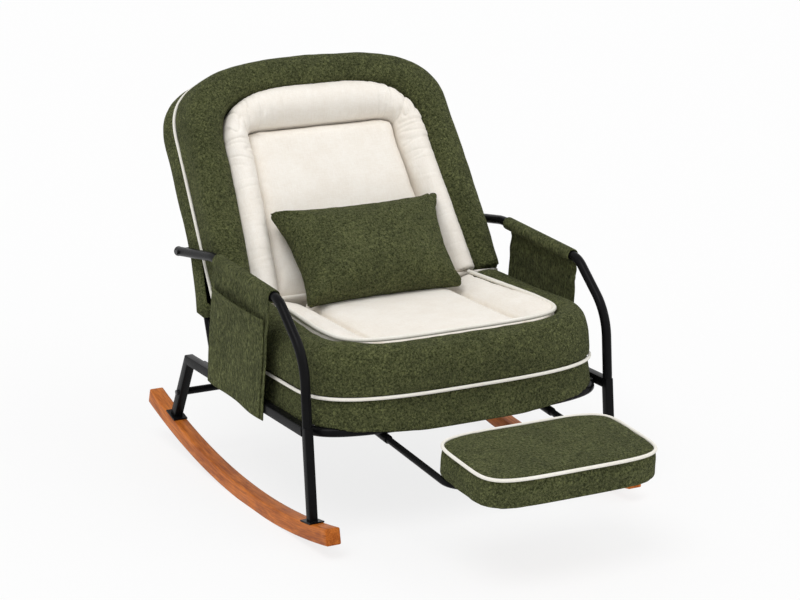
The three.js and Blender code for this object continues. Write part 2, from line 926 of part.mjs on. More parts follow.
// Padded ring between an inner and an outer outline, open at its feet
function paddedRing(inner, outer, base, crest, shares, innerShare, placed, seam) {
  const height = crest - base;
  const sections = inner.map((from, i) => {
    const width = outer[i].distanceTo(from);
    const point = (run, h) => {
      const p = from.clone().lerp(outer[i], run / width);
      return placed(p.x, p.y, base + h);
    };
    const lower = seam
      ? [point(0, 0), point(width - seamDepth, 0), point(width, seamHeight)]
      : [point(0, 0), point(width, 0), point(width, height * creamOuterEdgeShare)];
    const upper = shares.map(([run, h]) => point(run * width, h * height));
    return [...lower, ...upper, point(0, height * innerShare)];
  });
  return loft(sections);
}

const flat = (x, y, z) => at(x, y, z);
add(
  "back_border",
  paddedRing(
    creamArch(-softGap / 2),
    backArch(0),
    borderBase,
    backBorderCrown,
    borderShares,
    innerEdgeShare,
    flat,
    true,
  ),
  greenCloth,
  backGroup,
);
add(
  "back_cream_border",
  paddedRing(
    panelArch(-softGap / 2),
    creamArch(softGap / 2),
    borderBase,
    creamCrown,
    creamShares,
    creamInnerEdgeShare,
    flat,
    false,
  ),
  creamCloth,
  backGroup,
);
add(
  "back_centre_panel",
  cushion(panelArch(softGap / 2), panelRingShares, borderBase, -panelDepth, flat, softGap),
  creamCloth,
  backGroup,
);

// Piping follows the seam between the border and the cover
const backPipingW = borderBase + softGap;
add(
  "back_piping",
  tube(
    backArch(pipingInset).map((p) => at(p.x, p.y, backPipingW)),
    pipingDiameter,
    0,
    smallSides,
  ),
  pipingCloth,
  backGroup,
);

// Seat frame: a hoop bowed round the front between the rails, with a bar at its rear
const hoopFrontY = seatFrontY + hoopSetback;
const hoopHalf = hoopLegX;
const hoopOutline = arch(
  [
    [hoopHalf, 0],
    [hoopHalf, hoopRearY - hoopFrontY - hoopCorner],
  ],
  hoopRearY - hoopFrontY,
  cornerPower,
  1,
);
const hoopPoints = hoopOutline.map((p) => at(p.x, hoopRearY - p.y, hoopZ));
add("seat_hoop", tube(hoopPoints, roundTube, roundWall), steel);
const innerReach = hoopHalf - tubeRadius - weldGap;
const rearBarHole = ring(tubeRadius - roundWall, roundSides);
const rearBarY = hoopRearY - roundTube;
add(
  "seat_rear_bar",
  acrossBar(ring(tubeRadius, roundSides), rearBarHole, -innerReach, innerReach, rearBarY, hoopZ),
  steel,
);

// Footrest slide: the line of its tubes, and the guides they run in
const fall = THREE.MathUtils.degToRad(slideFall);
const guideZ = hoopZ - tubeRadius - weldGap - guideTube / 2;
const hoopAtGuideY = hoopFrontY + roundTube / 2;
const slideZ = (y) => guideZ + (y - hoopAtGuideY) * Math.tan(fall);
const guideBarY = seatFrontY + guideBarSetback;
const guideFrontY = hoopFrontY - tubeRadius / 2;
const guideRearY = guideBarY - tubeRadius - weldGap;
add(
  "guide_bar",
  acrossBar(ring(tubeRadius, roundSides), rearBarHole, -innerReach, innerReach, guideBarY, hoopZ),
  steel,
);
const boreRadius = clearRadius(slideTube / 2 + slideClearance, roundSides);
for (const [side, sign] of sides) {
  const x = sign * slideHalfSpread;
  const guide = member(
    ring(guideTube / 2, roundSides),
    ring(boreRadius, roundSides),
    at(0, guideFrontY, slideZ(guideFrontY)),
    at(0, guideRearY, slideZ(guideRearY)),
    null,
    at(0, 1, 0),
  );
  add(`footrest_guide_${side}`, guide.translate(x, 0, 0), steel);
}

// Straps across the seat frame
for (let i = 0; i < seatStrapCount; i += 1) {
  const firstY = hoopFrontY + hoopCorner;
  const lastY = rearBarY - roundTube - strapWidth / 2;
  const y = firstY + ((lastY - firstY) * i) / (seatStrapCount - 1);
  const half = hoopHalf + tubeRadius - strapOverlap;
  const strap = new THREE.BoxGeometry(2 * half, strapWidth, strapThickness);
  add(`seat_strap_${i + 1}`, strap.translate(0, y, strapZ + strapThickness / 2), webbing);
}

// Seat cushion: outlines run from the rear, round the front
function seatArch(inset, rearY) {
  const depth = rearY - seatFrontY;
  return arch(
    [
      [seatHalfWidth - inset, 0],
      [seatHalfWidth - inset, depth - seatCornerRun],
    ],
    depth - inset,
    cornerPower,
    4,
  );
}

// The base runs further back, and is narrower where it passes between the back posts
function seatBaseArch() {
  const depth = seatBaseRearY - seatFrontY;
  return arch(
    [
      [seatBaseRearHalfWidth, 0],
      [seatBaseRearHalfWidth, seatBaseNeck],
      [seatHalfWidth, seatBaseNeck + seatBaseNeckRun],
      [seatHalfWidth, depth - seatCornerRun],
    ],
    depth,
    cornerPower,
    1,
  );
}

function seatCreamArch(inset) {
  const depth = seatTopRearY - seatCreamFrontY;
  return arch(
    [
      [seatCreamRearHalfWidth - inset, 0],
      [seatCreamHalfWidth - inset, depth - seatCreamCornerRun],
    ],
    depth - inset,
    creamCornerPower,
    4,
  );
}

const seatPlace = (rearY) => (x, y, z) => at(x, rearY - y, z);
add(
  "seat_base_cushion",
  cushion(
    seatBaseArch(),
    baseRingShares,
    seatBottom,
    seatSeam,
    seatPlace(seatBaseRearY),
  ),
  greenCloth,
);
const topPlace = seatPlace(seatTopRearY);
const topBase = seatSeam + softGap;
add(
  "seat_border",
  paddedRing(
    seatCreamArch(-softGap / 2),
    seatArch(0, seatTopRearY),
    topBase,
    seatTop,
    seatBorderShares,
    seatInnerEdgeShare,
    topPlace,
    true,
  ),
  greenCloth,
);

// The cream field is three pads side by side
const field = seatCreamArch(softGap / 2);
function fieldSlice(from, to) {
  const inside = field.filter((p) => p.x > from && p.x < to);
  const edge = (x) => {
    const i = field.findIndex((p) => p.x >= x);
    const share = (x - field[i - 1].x) / (field[i].x - field[i - 1].x);
    return new THREE.Vector2(x, field[i - 1].y + (field[i].y - field[i - 1].y) * share);
  };
  const outline = [];
  if (from > field[0].x) outline.push(new THREE.Vector2(from, 0), edge(from));
  outline.push(...inside);
  if (to < field[field.length - 1].x) outline.push(edge(to), new THREE.Vector2(to, 0));
  return outline;
}
const fieldEdge = seatCreamHalfWidth + overrun;
const fieldTop = seatTop - seatCreamDepth;
const slices = [
  ["seat_bolster_left", -fieldEdge, -bolsterInnerX - softGap / 2, 0],
  ["seat_centre_pad", -bolsterInnerX + softGap / 2, bolsterInnerX - softGap / 2, seatPadDepth],
  ["seat_bolster_right", bolsterInnerX + softGap / 2, fieldEdge, 0],
];
for (const [name, from, to, drop] of slices) {
  const outline = fieldSlice(from, to);
  const top = fieldTop - drop;
  const pad = cushion(outline, panelRingShares, topBase, top, topPlace, padCrownHeight);
  add(name, pad, creamCloth);
}

// Seat piping lies in the groove between the base and the border
const seatPipingZ = seatSeam + softGap;
add(
  "seat_piping",
  tube(
    seatArch(pipingInset, seatTopRearY).map((p) => topPlace(p.x, p.y, seatPipingZ)),
    pipingDiameter,
    0,
    smallSides,
  ),
  pipingCloth,
);

// Lumbar pillow: a full middle that thins to four corners
function pillowGeometry() {
  const geometry = new THREE.SphereGeometry(1, 28, 12).rotateX(Math.PI / 2);
  const merged = mergeVertices(
    new THREE.BufferGeometry()
      .setAttribute("position", geometry.getAttribute("position"))
      .setIndex(geometry.index),
    1e-4,
  );
  const place = merged.getAttribute("position");
  const pinchShare = 0.07;
  const fullShare = 0.62;
  for (let i = 0; i < place.count; i += 1) {
    const [x, y, z] = [place.getX(i), place.getY(i), place.getZ(i)];
    const out = Math.min(Math.hypot(x, y), 1);
    const angle = Math.atan2(y, x);
    const [c, s] = [Math.abs(Math.cos(angle)), Math.abs(Math.sin(angle))];
    const reach = 1 / Math.max(c, s);
    const cornerness = (reach - 1) / (Math.SQRT2 - 1);
    const edge = reach * (1 - pinchShare * (1 - cornerness));
    const spread = out ** fullShare * edge;
    place.setX(i, (spread * Math.cos(angle) * pillowWidth) / 2);
    place.setY(i, (spread * Math.sin(angle) * pillowHeight) / 2);
    place.setZ(i, (z * pillowThickness) / 2);
  }
  return merged;
}
const pillowGroup = new THREE.Group();
const pillowTilt = THREE.MathUtils.degToRad(pillowLean);
pillowGroup.rotation.x = Math.PI / 2 - pillowTilt;
pillowGroup.position.set(0, backFootY + pillowRearRun, seatTop + pillowMiddleHeight);
chair.add(pillowGroup);
add("lumbar_pillow", pillowGeometry(), greenCloth, pillowGroup);

// Arm covers: cloth wrapped over the tube that hangs down outside the rail
const armSlope = (armRearHeight - armFrontHeight) / (armRearY - armFrontY);
const armAngle = Math.atan(armSlope);
const clothInner = clearRadius(tubeRadius + softGap, roundSides);
const clothOuter = clothInner + coverClothThickness;
const flapIn = Math.max(clothInner, squareTube / 2 + softGap);
function coverOutline(sign) {
  const points = [];
  for (let k = 0; k <= roundSides; k += 1) {
    const angle = Math.PI / 2 + Math.PI / 2 - (k / roundSides) * (Math.PI * 1.5);
    points.push([-clothOuter * Math.cos(angle), clothOuter * Math.sin(angle)]);
  }
  const flapOut = flapIn + coverClothThickness;
  const outline = [
    [flapOut, 0],
    [flapOut, -coverHangLength],
    [flapIn, -coverHangLength],
    [flapIn, -clothOuter],
    ...points.map(([x, z]) => [x, z]).reverse(),
  ];
  return outline.map(([x, z]) => new THREE.Vector2(sign * x, z));
}
const coverStart = armFrontY + coverFrontSetback;
const coverLength = (armRearY - coverRearSetback - coverStart) / Math.cos(armAngle);

function clothPiece(outline, hole, length) {
  const shape = new THREE.Shape(outline);
  if (hole) shape.holes.push(new THREE.Path(hole));
  return new THREE.ExtrudeGeometry(shape, { depth: length, bevelEnabled: false });
}

const coverFrame = new THREE.Matrix4().makeBasis(
  at(1, 0, 0),
  at(0, -Math.sin(armAngle), Math.cos(armAngle)),
  at(0, -Math.cos(armAngle), -Math.sin(armAngle)),
);

// The hanging part leans back a little towards its hem
function layCloth(outline, hole, setback, length) {
  const geometry = clothPiece(outline, hole, length);
  const place = geometry.getAttribute("position");
  for (let i = 0; i < place.count; i += 1) {
    const down = Math.max(-place.getY(i) - clothOuter, 0) / coverHangLength;
    place.setZ(i, place.getZ(i) - down * coverSkewRun + setback);
  }
  return geometry.applyMatrix4(coverFrame);
}

const clothZ = (y) => armFrontHeight + (y - armFrontY) * armSlope;
for (const [side, sign] of sides) {
  const rearY = coverStart + coverLength * Math.cos(armAngle);
  const cover = layCloth(coverOutline(sign), ring(clothInner, roundSides), 0, coverLength);
  cover.translate(sign * halfSpread, rearY, clothZ(rearY));
  add(`arm_cover_${side}`, cover, greenCloth);
  const pocketIn = flapIn + coverClothThickness + softGap;
  const pocketOut = pocketIn + pocketThickness;
  const pocket = [
    [pocketIn, -pocketTopDepth],
    [pocketIn, -coverHangLength + pocketInset],
    [pocketOut, -coverHangLength + pocketInset * 2],
    [pocketOut, -pocketTopDepth - pocketInset],
  ].map(([x, z]) => new THREE.Vector2(sign * x, z));
  const pocketLength = coverLength - 2 * pocketInset;
  const panel = layCloth(pocket, null, pocketInset, pocketLength);
  panel.translate(sign * halfSpread, rearY, clothZ(rearY));
  add(`arm_pocket_${side}`, panel, greenCloth);
}

// Footrest: a U of tube that slides in the guides, and a pad that turns on its cross piece
const slideRearY = hoopAtGuideY + slideOverlap;
const slideCorners = (end) => [
  at(-slideHalfSpread, end, slideZ(end)),
  at(-slideHalfSpread, footrestAxisY, slideZ(footrestAxisY)),
  at(slideHalfSpread, footrestAxisY, slideZ(footrestAxisY)),
  at(slideHalfSpread, end, slideZ(end)),
];
add(
  "footrest_tube",
  tube(bent(slideCorners(slideRearY), [slideBend, slideBend], 5), slideTube, slideWall),
  steel,
);

// Caps in the rear ends of the arm tubes
const plugRadius = (tubeRadius - roundWall) * Math.cos(Math.PI / roundSides) - softGap;
for (const [side, sign] of sides) {
  const plug = turned([
    [0, -plugDepth],
    [plugRadius, -plugDepth],
    [plugRadius, weldGap],
    [tubeRadius, weldGap],
    [tubeRadius - plugFlange / 2, weldGap + plugFlange],
    [0, weldGap + plugFlange],
  ]);
  const mesh = add(`arm_cap_${side}`, plug.rotateX(-Math.PI / 2), plastic);
  mesh.rotation.x = -Math.atan(armRearFall);
  mesh.position.set(sign * halfSpread, armEndY, armLineZ(armEndY));
}

const padGroup = new THREE.Group();
padGroup.position.set(0, footrestAxisY, slideZ(footrestAxisY));
padGroup.rotation.x = fall;
chair.add(padGroup);
const padBottom = slideTube / 2 + boardStandoff;

const padMiddle = (padRear - padFront) / 2;
const padHalfDepth = (padRear + padFront) / 2;
function roundedOutline(halfX, halfY, power, steps = 36) {
  return Array.from({ length: steps }, (_, i) => {
    const angle = ((i + 0.5) / steps) * 2 * Math.PI;
    const [c, s] = [Math.cos(angle), Math.sin(angle)];
    return new THREE.Vector2(
      halfX * Math.sign(c) * Math.abs(c) ** (2 / power),
      padMiddle + halfY * Math.sign(s) * Math.abs(s) ** (2 / power),
    );
  });
}
const padOutline = roundedOutline(padHalfWidth, padHalfDepth, padCornerPower);
const boardOutline = (inset) =>
  roundedOutline(padHalfWidth - inset, padHalfDepth - inset, padCornerPower, roundSides * 2);
const recess = plate(boardOutline(boardInset - softGap), 0, padBottom + boardThickness + softGap);
add(
  "footrest_pad",
  cut(cushion(padOutline, padRingShares, padBottom, padBottom + padHeight), recess),
  greenCloth,
  padGroup,
);
add(
  "footrest_board",
  plate(boardOutline(boardInset), padBottom, padBottom + boardThickness),
  plywood,
  padGroup,
);

// Clips hold the board on the cross piece of the U
const clipBore = clearRadius(slideTube / 2 + slideClearance, roundSides);
const clipOuter = clipBore + clipWall;
function clipOutline() {
  const points = ring(clipOuter, roundSides * 2).filter((p) => p.x < clipOuter / 2);
  const top = padBottom - weldGap;
  const foot = clipOuter + clipWall * 2;
  points.sort((a, b) => (Math.atan2(a.y, -a.x) > Math.atan2(b.y, -b.x) ? 1 : -1));
  return { points, top, foot };
}
for (const [side, sign] of sides) {
  const { top, foot } = clipOutline();
  const body = rod(clipOuter, clipWidth, roundSides * 2);
  const base = new THREE.BoxGeometry(clipWall, 2 * foot, clipWidth);
  base.translate(-top + clipWall / 2, 0, clipWidth / 2);
  const trim = new THREE.BoxGeometry(clipOuter, clipOuter * 3, clipWidth * 2);
  trim.translate(-top - clipOuter / 2, 0, clipWidth / 2);
  const bore = rod(clipBore, clipWidth + 2 * overrun, roundSides).translate(0, 0, -overrun);
  const joined = solid(body).add(solid(base)).subtract(solid(trim)).subtract(solid(bore));
  const clip = surface(joined).rotateY(Math.PI / 2);
  add(
    `footrest_clip_${side}`,
    clip.translate(sign * clipHalfSpread - clipWidth / 2, 0, 0),
    plastic,
    padGroup,
  );
}

// Piping round the footrest's upper edge, with its joint at the rear
const pipingLevel = padBottom + (padHeight * (grooveRing[1] + grooveTopRing[1])) / 2;
const pipingGrow = pipingDiameter / 2 + softGap;
function footrestPiping() {
  const outline = roundedOutline(
    padHalfWidth * grooveRing[0] + pipingGrow,
    padHalfDepth * grooveRing[0] + pipingGrow,
    padCornerPower,
  );
  const quarter = Math.floor(outline.length / 4);
  const started = [...outline.slice(quarter), ...outline.slice(0, quarter)];
  const points = started.map((p) => at(p.x, p.y, pipingLevel));
  points.push(at(points[0].x + softGap, points[0].y, pipingLevel));
  return tube(points, pipingDiameter, 0, smallSides);
}
add("footrest_piping", footrestPiping(), pipingCloth, padGroup);

// The part's origin is on the floor, under the middle of the whole chair
const box = new THREE.Box3().setFromObject(chair, true);
chair.position.set(0, -(box.min.y + box.max.y) / 2, -box.min.z);

const part = new THREE.Group();
part.add(chair);

export default part;
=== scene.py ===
# %% [markdown]
# # A padded rocking chair
# A black steel tube frame stands on two curved wooden runners. It carries a thick green seat and
# back with cream fields, cloth arm covers with a pocket, a loose lumbar pillow and a footrest
# that pulls out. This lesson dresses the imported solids: each soft or round piece is made again
# in finer form and rides on the body of the solid that it stands for.

# %% Load the frame
import math

import bmesh
import bpy
from mathutils import Matrix, Vector, noise


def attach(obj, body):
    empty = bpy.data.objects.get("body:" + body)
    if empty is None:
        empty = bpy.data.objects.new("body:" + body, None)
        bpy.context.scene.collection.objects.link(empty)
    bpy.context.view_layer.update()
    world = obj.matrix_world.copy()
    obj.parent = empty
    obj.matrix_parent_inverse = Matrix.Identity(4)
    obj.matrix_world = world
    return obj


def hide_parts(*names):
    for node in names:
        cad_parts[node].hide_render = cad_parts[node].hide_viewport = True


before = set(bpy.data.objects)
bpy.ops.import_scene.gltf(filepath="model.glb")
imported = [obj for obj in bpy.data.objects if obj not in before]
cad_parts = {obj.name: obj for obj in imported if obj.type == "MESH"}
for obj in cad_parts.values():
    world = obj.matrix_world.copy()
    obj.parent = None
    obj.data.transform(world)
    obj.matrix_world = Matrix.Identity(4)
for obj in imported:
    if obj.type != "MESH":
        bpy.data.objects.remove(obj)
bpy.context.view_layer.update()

# %% [markdown]
# ## Sizes and places
# The chair was measured in millimetres, with the ground at height 0 and the front towards -Y.
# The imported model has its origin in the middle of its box, so every piece is modelled in the
# measured frame, then shifted and scaled to metres. Each number is one that a drawing has.

# %% The measured frame
MM = 0.001
FRONT_SHIFT = 212.3209


def measured(place):
    """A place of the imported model, in metres, as millimetres of the measured frame."""
    return Vector((place.x / MM, place.y / MM - FRONT_SHIFT, place.z / MM))


# %% [markdown]
# ## Camera
# The photograph looks from the front left, a little above the seat, from about five metres away
# with a long lens. Turn and tilt are easier to compare with it than three rotations.


# %% Camera
def facing(turn, tilt):
    """The way from the chair to a viewer or lamp, turned round the chair and tilted up."""
    a, e = math.radians(turn), math.radians(tilt)
    return Vector((math.sin(a) * math.cos(e), -math.cos(a) * math.cos(e), math.sin(e)))


def linked(name, data):
    made = bpy.data.objects.new(name, data)
    bpy.context.scene.collection.objects.link(made)
    return made


CAMERA_TURN, CAMERA_TILT = -28.434, 15.216
camera_back = facing(CAMERA_TURN, CAMERA_TILT)
turn = math.radians(CAMERA_TURN)
camera_right = Vector((math.cos(turn), math.sin(turn), 0))
camera_up = camera_back.cross(camera_right)
camera = linked("camera", bpy.data.cameras.new("camera"))
camera.data.lens = 112.5
camera.data.sensor_width = 36
camera.location = (-2.4126, -4.3709, 1.7692)
camera.rotation_euler = Matrix((camera_right, camera_up, camera_back)).transposed().to_euler()
bpy.context.scene.camera = camera
print("camera looks along", tuple(round(-c, 3) for c in camera_back))

# %% [markdown]
# ## Finishes
# Each finish is a node material. One small class wraps a number on its way through the nodes,
# so that shader sums read as Python. Another adds nodes: settings first, then the sockets.
# Patterns read Object coordinates, so a weave has one scale all over the chair.


# %% Numbers that travel through nodes
class Signal:
    """A number on its way through the nodes. Python's signs add Math nodes to it."""

    def __init__(self, nodes, socket):
        self.nodes = nodes
        self.socket = socket

    def worked(self, operation, *numbers):
        sockets = dict(enumerate(numbers))
        node = self.nodes.add("ShaderNodeMath", {"operation": operation}, sockets)
        return Signal(self.nodes, node.outputs[0])

    def __add__(self, other):
        return self.worked("ADD", self, other)

    def __rsub__(self, other):
        return self.worked("SUBTRACT", other, self)

    def __sub__(self, other):
        return self.worked("SUBTRACT", self, other)

    def __mul__(self, other):
        return self.worked("MULTIPLY", self, other)

    def sine(self):
        return self.worked("SINE", self)

    def root(self):
        return self.worked("SQRT", self)

    def either(self, other):
        return self.worked("MAXIMUM", self, other)

    def turn_to(self, other):
        return self.worked("ARCTAN2", self, other)

    def ramp(self, low, high):
        """0 below low, 1 above high, and smooth between them."""
        sockets = {"Value": self, "From Min": low, "From Max": high}
        settings = {"interpolation_type": "SMOOTHSTEP"}
        node = self.nodes.add("ShaderNodeMapRange", settings, sockets)
        return Signal(self.nodes, node.outputs[0])


# %% Nodes, and a finish
class Nodes:
    """A node tree that grows by one node at a time."""

    def __init__(self, tree):
        self.tree = tree

    def add(self, kind, settings=None, sockets=None):
        node = self.tree.nodes.new(kind)
        for key, setting in (settings or {}).items():
            setattr(node, key, setting)
        for key, value in (sockets or {}).items():
            socket = node.inputs[key]
            if isinstance(value, Signal):
                self.tree.links.new(value.socket, socket)
            elif isinstance(value, bpy.types.NodeSocket):
                self.tree.links.new(value, socket)
            else:
                socket.default_value = value
        return node

    def white_rays(self):
        """1 for rays of the camera and for those that mirror or pass through, else 0."""
        rays = self.add("ShaderNodeLightPath").outputs
        seen = Signal(self, rays["Is Camera Ray"])
        for ray in ("Is Glossy Ray", "Is Transmission Ray"):
            seen = seen.either(Signal(self, rays[ray]))
        return seen

    def ended(self, output, share, first, second):
        """Ends the tree in a mix of two shaders."""
        sockets = {0: share, 1: first.outputs[0], 2: second.outputs[0]}
        choice = self.add("ShaderNodeMixShader", None, sockets)
        self.tree.links.new(choice.outputs[0], self.tree.nodes[output].inputs["Surface"])


class Finish(Nodes):
    """A material whose nodes stand in front of one Principled shader."""

    def __init__(self, name, **constants):
        self.material = bpy.data.materials.new(name)
        self.material.use_nodes = True
        super().__init__(self.material.node_tree)
        self.shader = self.tree.nodes["Principled BSDF"]
        for socket, number in constants.items():
            self.shader.inputs[socket.replace("_", " ")].default_value = number

    def place(self, scale=(1, 1, 1)):
        coordinates = self.add("ShaderNodeTexCoord").outputs["Object"]
        sockets = {"Vector": coordinates, "Scale": scale}
        return self.add("ShaderNodeMapping", None, sockets).outputs["Vector"]

    def axes(self):
        """Object coordinates as three numbers."""
        coordinates = self.add("ShaderNodeTexCoord").outputs["Object"]
        apart = self.add("ShaderNodeSeparateXYZ", None, {0: coordinates}).outputs
        return [Signal(self, socket) for socket in apart]

    def cloud(self, size, detail=2.0, roughness=0.5, place=None, distortion=0.0):
        """Noise with lumps of about the given size in millimetres."""
        sockets = {
            "Vector": place or self.place(),
            "Scale": 1 / (size * MM),
            "Detail": detail,
            "Roughness": roughness,
            "Distortion": distortion,
        }
        return Signal(self, self.add("ShaderNodeTexNoise", None, sockets).outputs["Fac"])

    def tufts(self, size, place=None):
        """Distance from the middle of the nearest tuft, in cells of the given size."""
        sockets = {"Vector": place or self.place(), "Scale": 1 / (size * MM)}
        node = self.add("ShaderNodeTexVoronoi", {"feature": "F1"}, sockets)
        return Signal(self, node.outputs["Distance"])

    def mixed(self, share, first, second, way="MIX"):
        """A colour between two colours. A Mix node keeps them in colour."""
        colours = [c if isinstance(c, bpy.types.NodeSocket) else (*c, 1) for c in (first, second)]
        settings = {"data_type": "RGBA", "blend_type": way}
        sockets = {0: share, 6: colours[0], 7: colours[1]}
        return self.add("ShaderNodeMix", settings, sockets).outputs[2]

    def wear(self, socket, value):
        """Gives the shader's socket its varying value."""
        link = value.socket if isinstance(value, Signal) else value
        self.tree.links.new(link, self.shader.inputs[socket])

    def relief(self, height, depth, strength=1.0, under=None):
        """Bump of a height from 0 to 1, depth millimetres deep."""
        sockets = {"Height": height, "Distance": depth * MM, "Strength": strength}
        if under:
            sockets["Normal"] = under
        return self.add("ShaderNodeBump", None, sockets).outputs["Normal"]

    def ready(self, colour, normal):
        self.wear("Base Color", colour)
        self.wear("Normal", normal)
        return self.material


print("a finish adds one Math node for each sign")

# %% [markdown]
# ### Green chenille
# Chenille is woven from a hairy yarn: short tufts catch the light and the gaps between them are
# nearly black. The pile lies in soft patches where a hand has brushed it. Three sizes of noise
# make this, patches of centimetres, clumps and tufts. The light on the tufts and the dark gaps
# are painted into the colour as painted highlight and painted shade, and the tufts also feed
# the bump.


# %% Green chenille
def chenille(name, stretch=(1, 1, 1)):
    cloth = Finish(
        name, Roughness=0.95, Sheen_Weight=0.07, Sheen_Roughness=0.45,
        Sheen_Tint=(0.70, 0.72, 0.48, 1), Specular_IOR_Level=0.12,
    )
    patches = cloth.cloud(75, 2)
    clumps = cloth.cloud(15, 3, 0.6, cloth.place(stretch))
    tufts = cloth.cloud(4.4, 3, 0.72, cloth.place(stretch), 1.0)
    cells = cloth.tufts(4.6, cloth.place(stretch))
    # Painted highlight on the tufts and painted shade in the gaps between them, also the bump's
    # height.
    tuft_height_and_painted_light = tufts.ramp(0.37, 0.64) * 0.65 + (1 - cells.ramp(0.1, 0.85)) * 0.35
    brushed = patches.ramp(0.3, 0.7) * 0.45 + clumps.ramp(0.32, 0.7) * 0.55
    # The pile's colour carries the painted highlight on the tufts and the painted shade in the
    # gaps.
    pile_with_painted_light = cloth.mixed(tuft_height_and_painted_light, (0.026, 0.032, 0.010), (0.182, 0.197, 0.086))
    shade = cloth.mixed(brushed, (0.74, 0.75, 0.70), (1.16, 1.16, 1.08))
    soft = cloth.relief(clumps, 2.0, 0.5)
    colour = cloth.mixed(1.0, pile_with_painted_light, shade, "MULTIPLY")
    return cloth.ready(colour, cloth.relief(tuft_height_and_painted_light, 3.2, 1.0, soft))


green_chenille = chenille("green_chenille")
pocket_chenille = chenille("pocket_chenille", (1, 1, 0.45))
print(green_chenille.name, len(green_chenille.node_tree.nodes), "nodes")

# %% [markdown]
# ### Cream cloth
# The fields are a smooth cream cloth with thin slubs both ways. Its colour changes by a few
# hundredths, with fine threads in the bump: a strong weave would look like sacking.


# %% Cream cloth
def smooth_cloth(name, light, dark, thread, depth):
    cloth = Finish(
        name, Roughness=0.9, Sheen_Weight=0.06, Sheen_Roughness=0.5, Specular_IOR_Level=0.2
    )
    warp = cloth.cloud(thread, 3, 0.6, cloth.place((1, 0.12, 0.12)))
    weft = cloth.cloud(thread, 3, 0.6, cloth.place((0.12, 1, 1)))
    slubs = warp * 0.5 + weft * 0.5
    tone = slubs.ramp(0.38, 0.64) * 0.6 + cloth.cloud(60, 2).ramp(0.3, 0.7) * 0.4
    return cloth.ready(cloth.mixed(tone, dark, light), cloth.relief(slubs, depth, 0.5))


cream_cloth = smooth_cloth("cream_cloth", (0.945, 0.905, 0.84), (0.86, 0.80, 0.715), 1.6, 0.5)
piping_cloth = smooth_cloth("piping_cloth", (0.93, 0.905, 0.84), (0.82, 0.785, 0.70), 1.1, 0.5)
print(cream_cloth.name, piping_cloth.name)

# %% [markdown]
# ### Black coated steel
# The tubes have a satin powder coat. Powder melts into a skin with a fine orange peel, so the
# roughness wanders a little. The coat is a plastic, so the material isn't metallic.


# %% Black coated steel
def coated_steel():
    coat = Finish("frame_steel", Metallic=0.0, Specular_IOR_Level=0.06)
    peel = coat.cloud(1.8, 2)
    wiped = coat.cloud(45, 3)
    coat.wear("Roughness", wiped.ramp(0.3, 0.7) * 0.1 + 0.24)
    black = coat.mixed(wiped, (0.0035, 0.0035, 0.004), (0.0075, 0.0075, 0.008))
    return coat.ready(black, coat.relief(peel, 0.12, 0.35))


frame_steel = coated_steel()
print(frame_steel.name)

# %% [markdown]
# ### Runner wood
# The grain runs along each runner's curve. Object coordinates are turned into the way round the
# rocking circle and the distance from its centre, and noise is stretched along the first.

# %% Runner wood
ROCK_RADIUS = 1760
ROCK_MIDDLE_Y = -160
ROCK_FLAT = 200
ROCK_CENTRE_Z = math.sqrt(ROCK_RADIUS**2 - (ROCK_FLAT / 2) ** 2)


def runner_timber():
    wood = Finish("runner_wood", Coat_Roughness=0.3, Specular_IOR_Level=0.16)
    across, along, up = wood.axes()
    forward = along - (ROCK_MIDDLE_Y + FRONT_SHIFT) * MM
    down = ROCK_CENTRE_Z * MM - up
    way = forward.turn_to(down) * (ROCK_RADIUS * MM)
    reach = (forward * forward + down * down).root()

    def grain(stretch):
        sockets = {0: across, 1: way * stretch, 2: reach}
        return wood.add("ShaderNodeCombineXYZ", None, sockets).outputs[0]

    figure = wood.cloud(22, 4, 0.6, grain(0.16), 1.2)
    lines = wood.cloud(3.2, 4, 0.7, grain(0.055))
    pores = wood.cloud(1.0, 2, 0.6, grain(0.055))
    tone = figure.ramp(0.36, 0.66) * 0.6 + lines.ramp(0.36, 0.64) * 0.4
    plain = wood.mixed(tone, (0.28, 0.060, 0.005), (0.69, 0.205, 0.028))
    worn = wood.mixed(pores.ramp(0.6, 0.74) * 0.45, plain, (0.15, 0.038, 0.008))
    wood.wear("Roughness", lines * 0.2 + 0.36)
    wood.wear("Coat Weight", tone * 0.06 + 0.02)
    return wood.ready(worn, wood.relief(lines, 0.25, 0.35))


runner_wood = runner_timber()
print(runner_wood.name, len(runner_wood.node_tree.nodes), "nodes")

# %% [markdown]
# ### Webbing, lining, plywood, plastic and zinc
# These finishes show little, so each is short: ribs across the webbing, a close black lining,
# layered plywood, a grained plastic, and black zinc on the bolts.


# %% Webbing, lining, plywood, plastic and zinc
def ribbed(name, dark, light, pitch):
    band = Finish(name, Roughness=0.85)
    ribs = (band.axes()[0] * (2 * math.pi / (pitch * MM))).sine() * 0.5 + 0.5
    fluff = band.cloud(2.2, 3)
    tone = ribs * 0.5 + fluff * 0.5
    return band.ready(band.mixed(tone, dark, light), band.relief(ribs, 0.4, 0.6))


def plywood_board():
    board = Finish("plywood", Roughness=0.75)
    grain = board.cloud(6, 4, 0.6, board.place((0.08, 1, 1)))
    layers = board.cloud(1.5, 2, 0.5, board.place((0.05, 0.05, 1)))
    tone = grain.ramp(0.3, 0.7) * 0.6 + layers * 0.4
    colour = board.mixed(tone, (0.30, 0.17, 0.085), (0.56, 0.37, 0.20))
    return board.ready(colour, board.relief(grain, 0.2, 0.4))


def plain_finish(name, dark, light, size, depth, **constants):
    plain = Finish(name, **constants)
    spots = plain.cloud(size, 3, 0.6)
    return plain.ready(plain.mixed(spots, dark, light), plain.relief(spots, depth, 0.4))


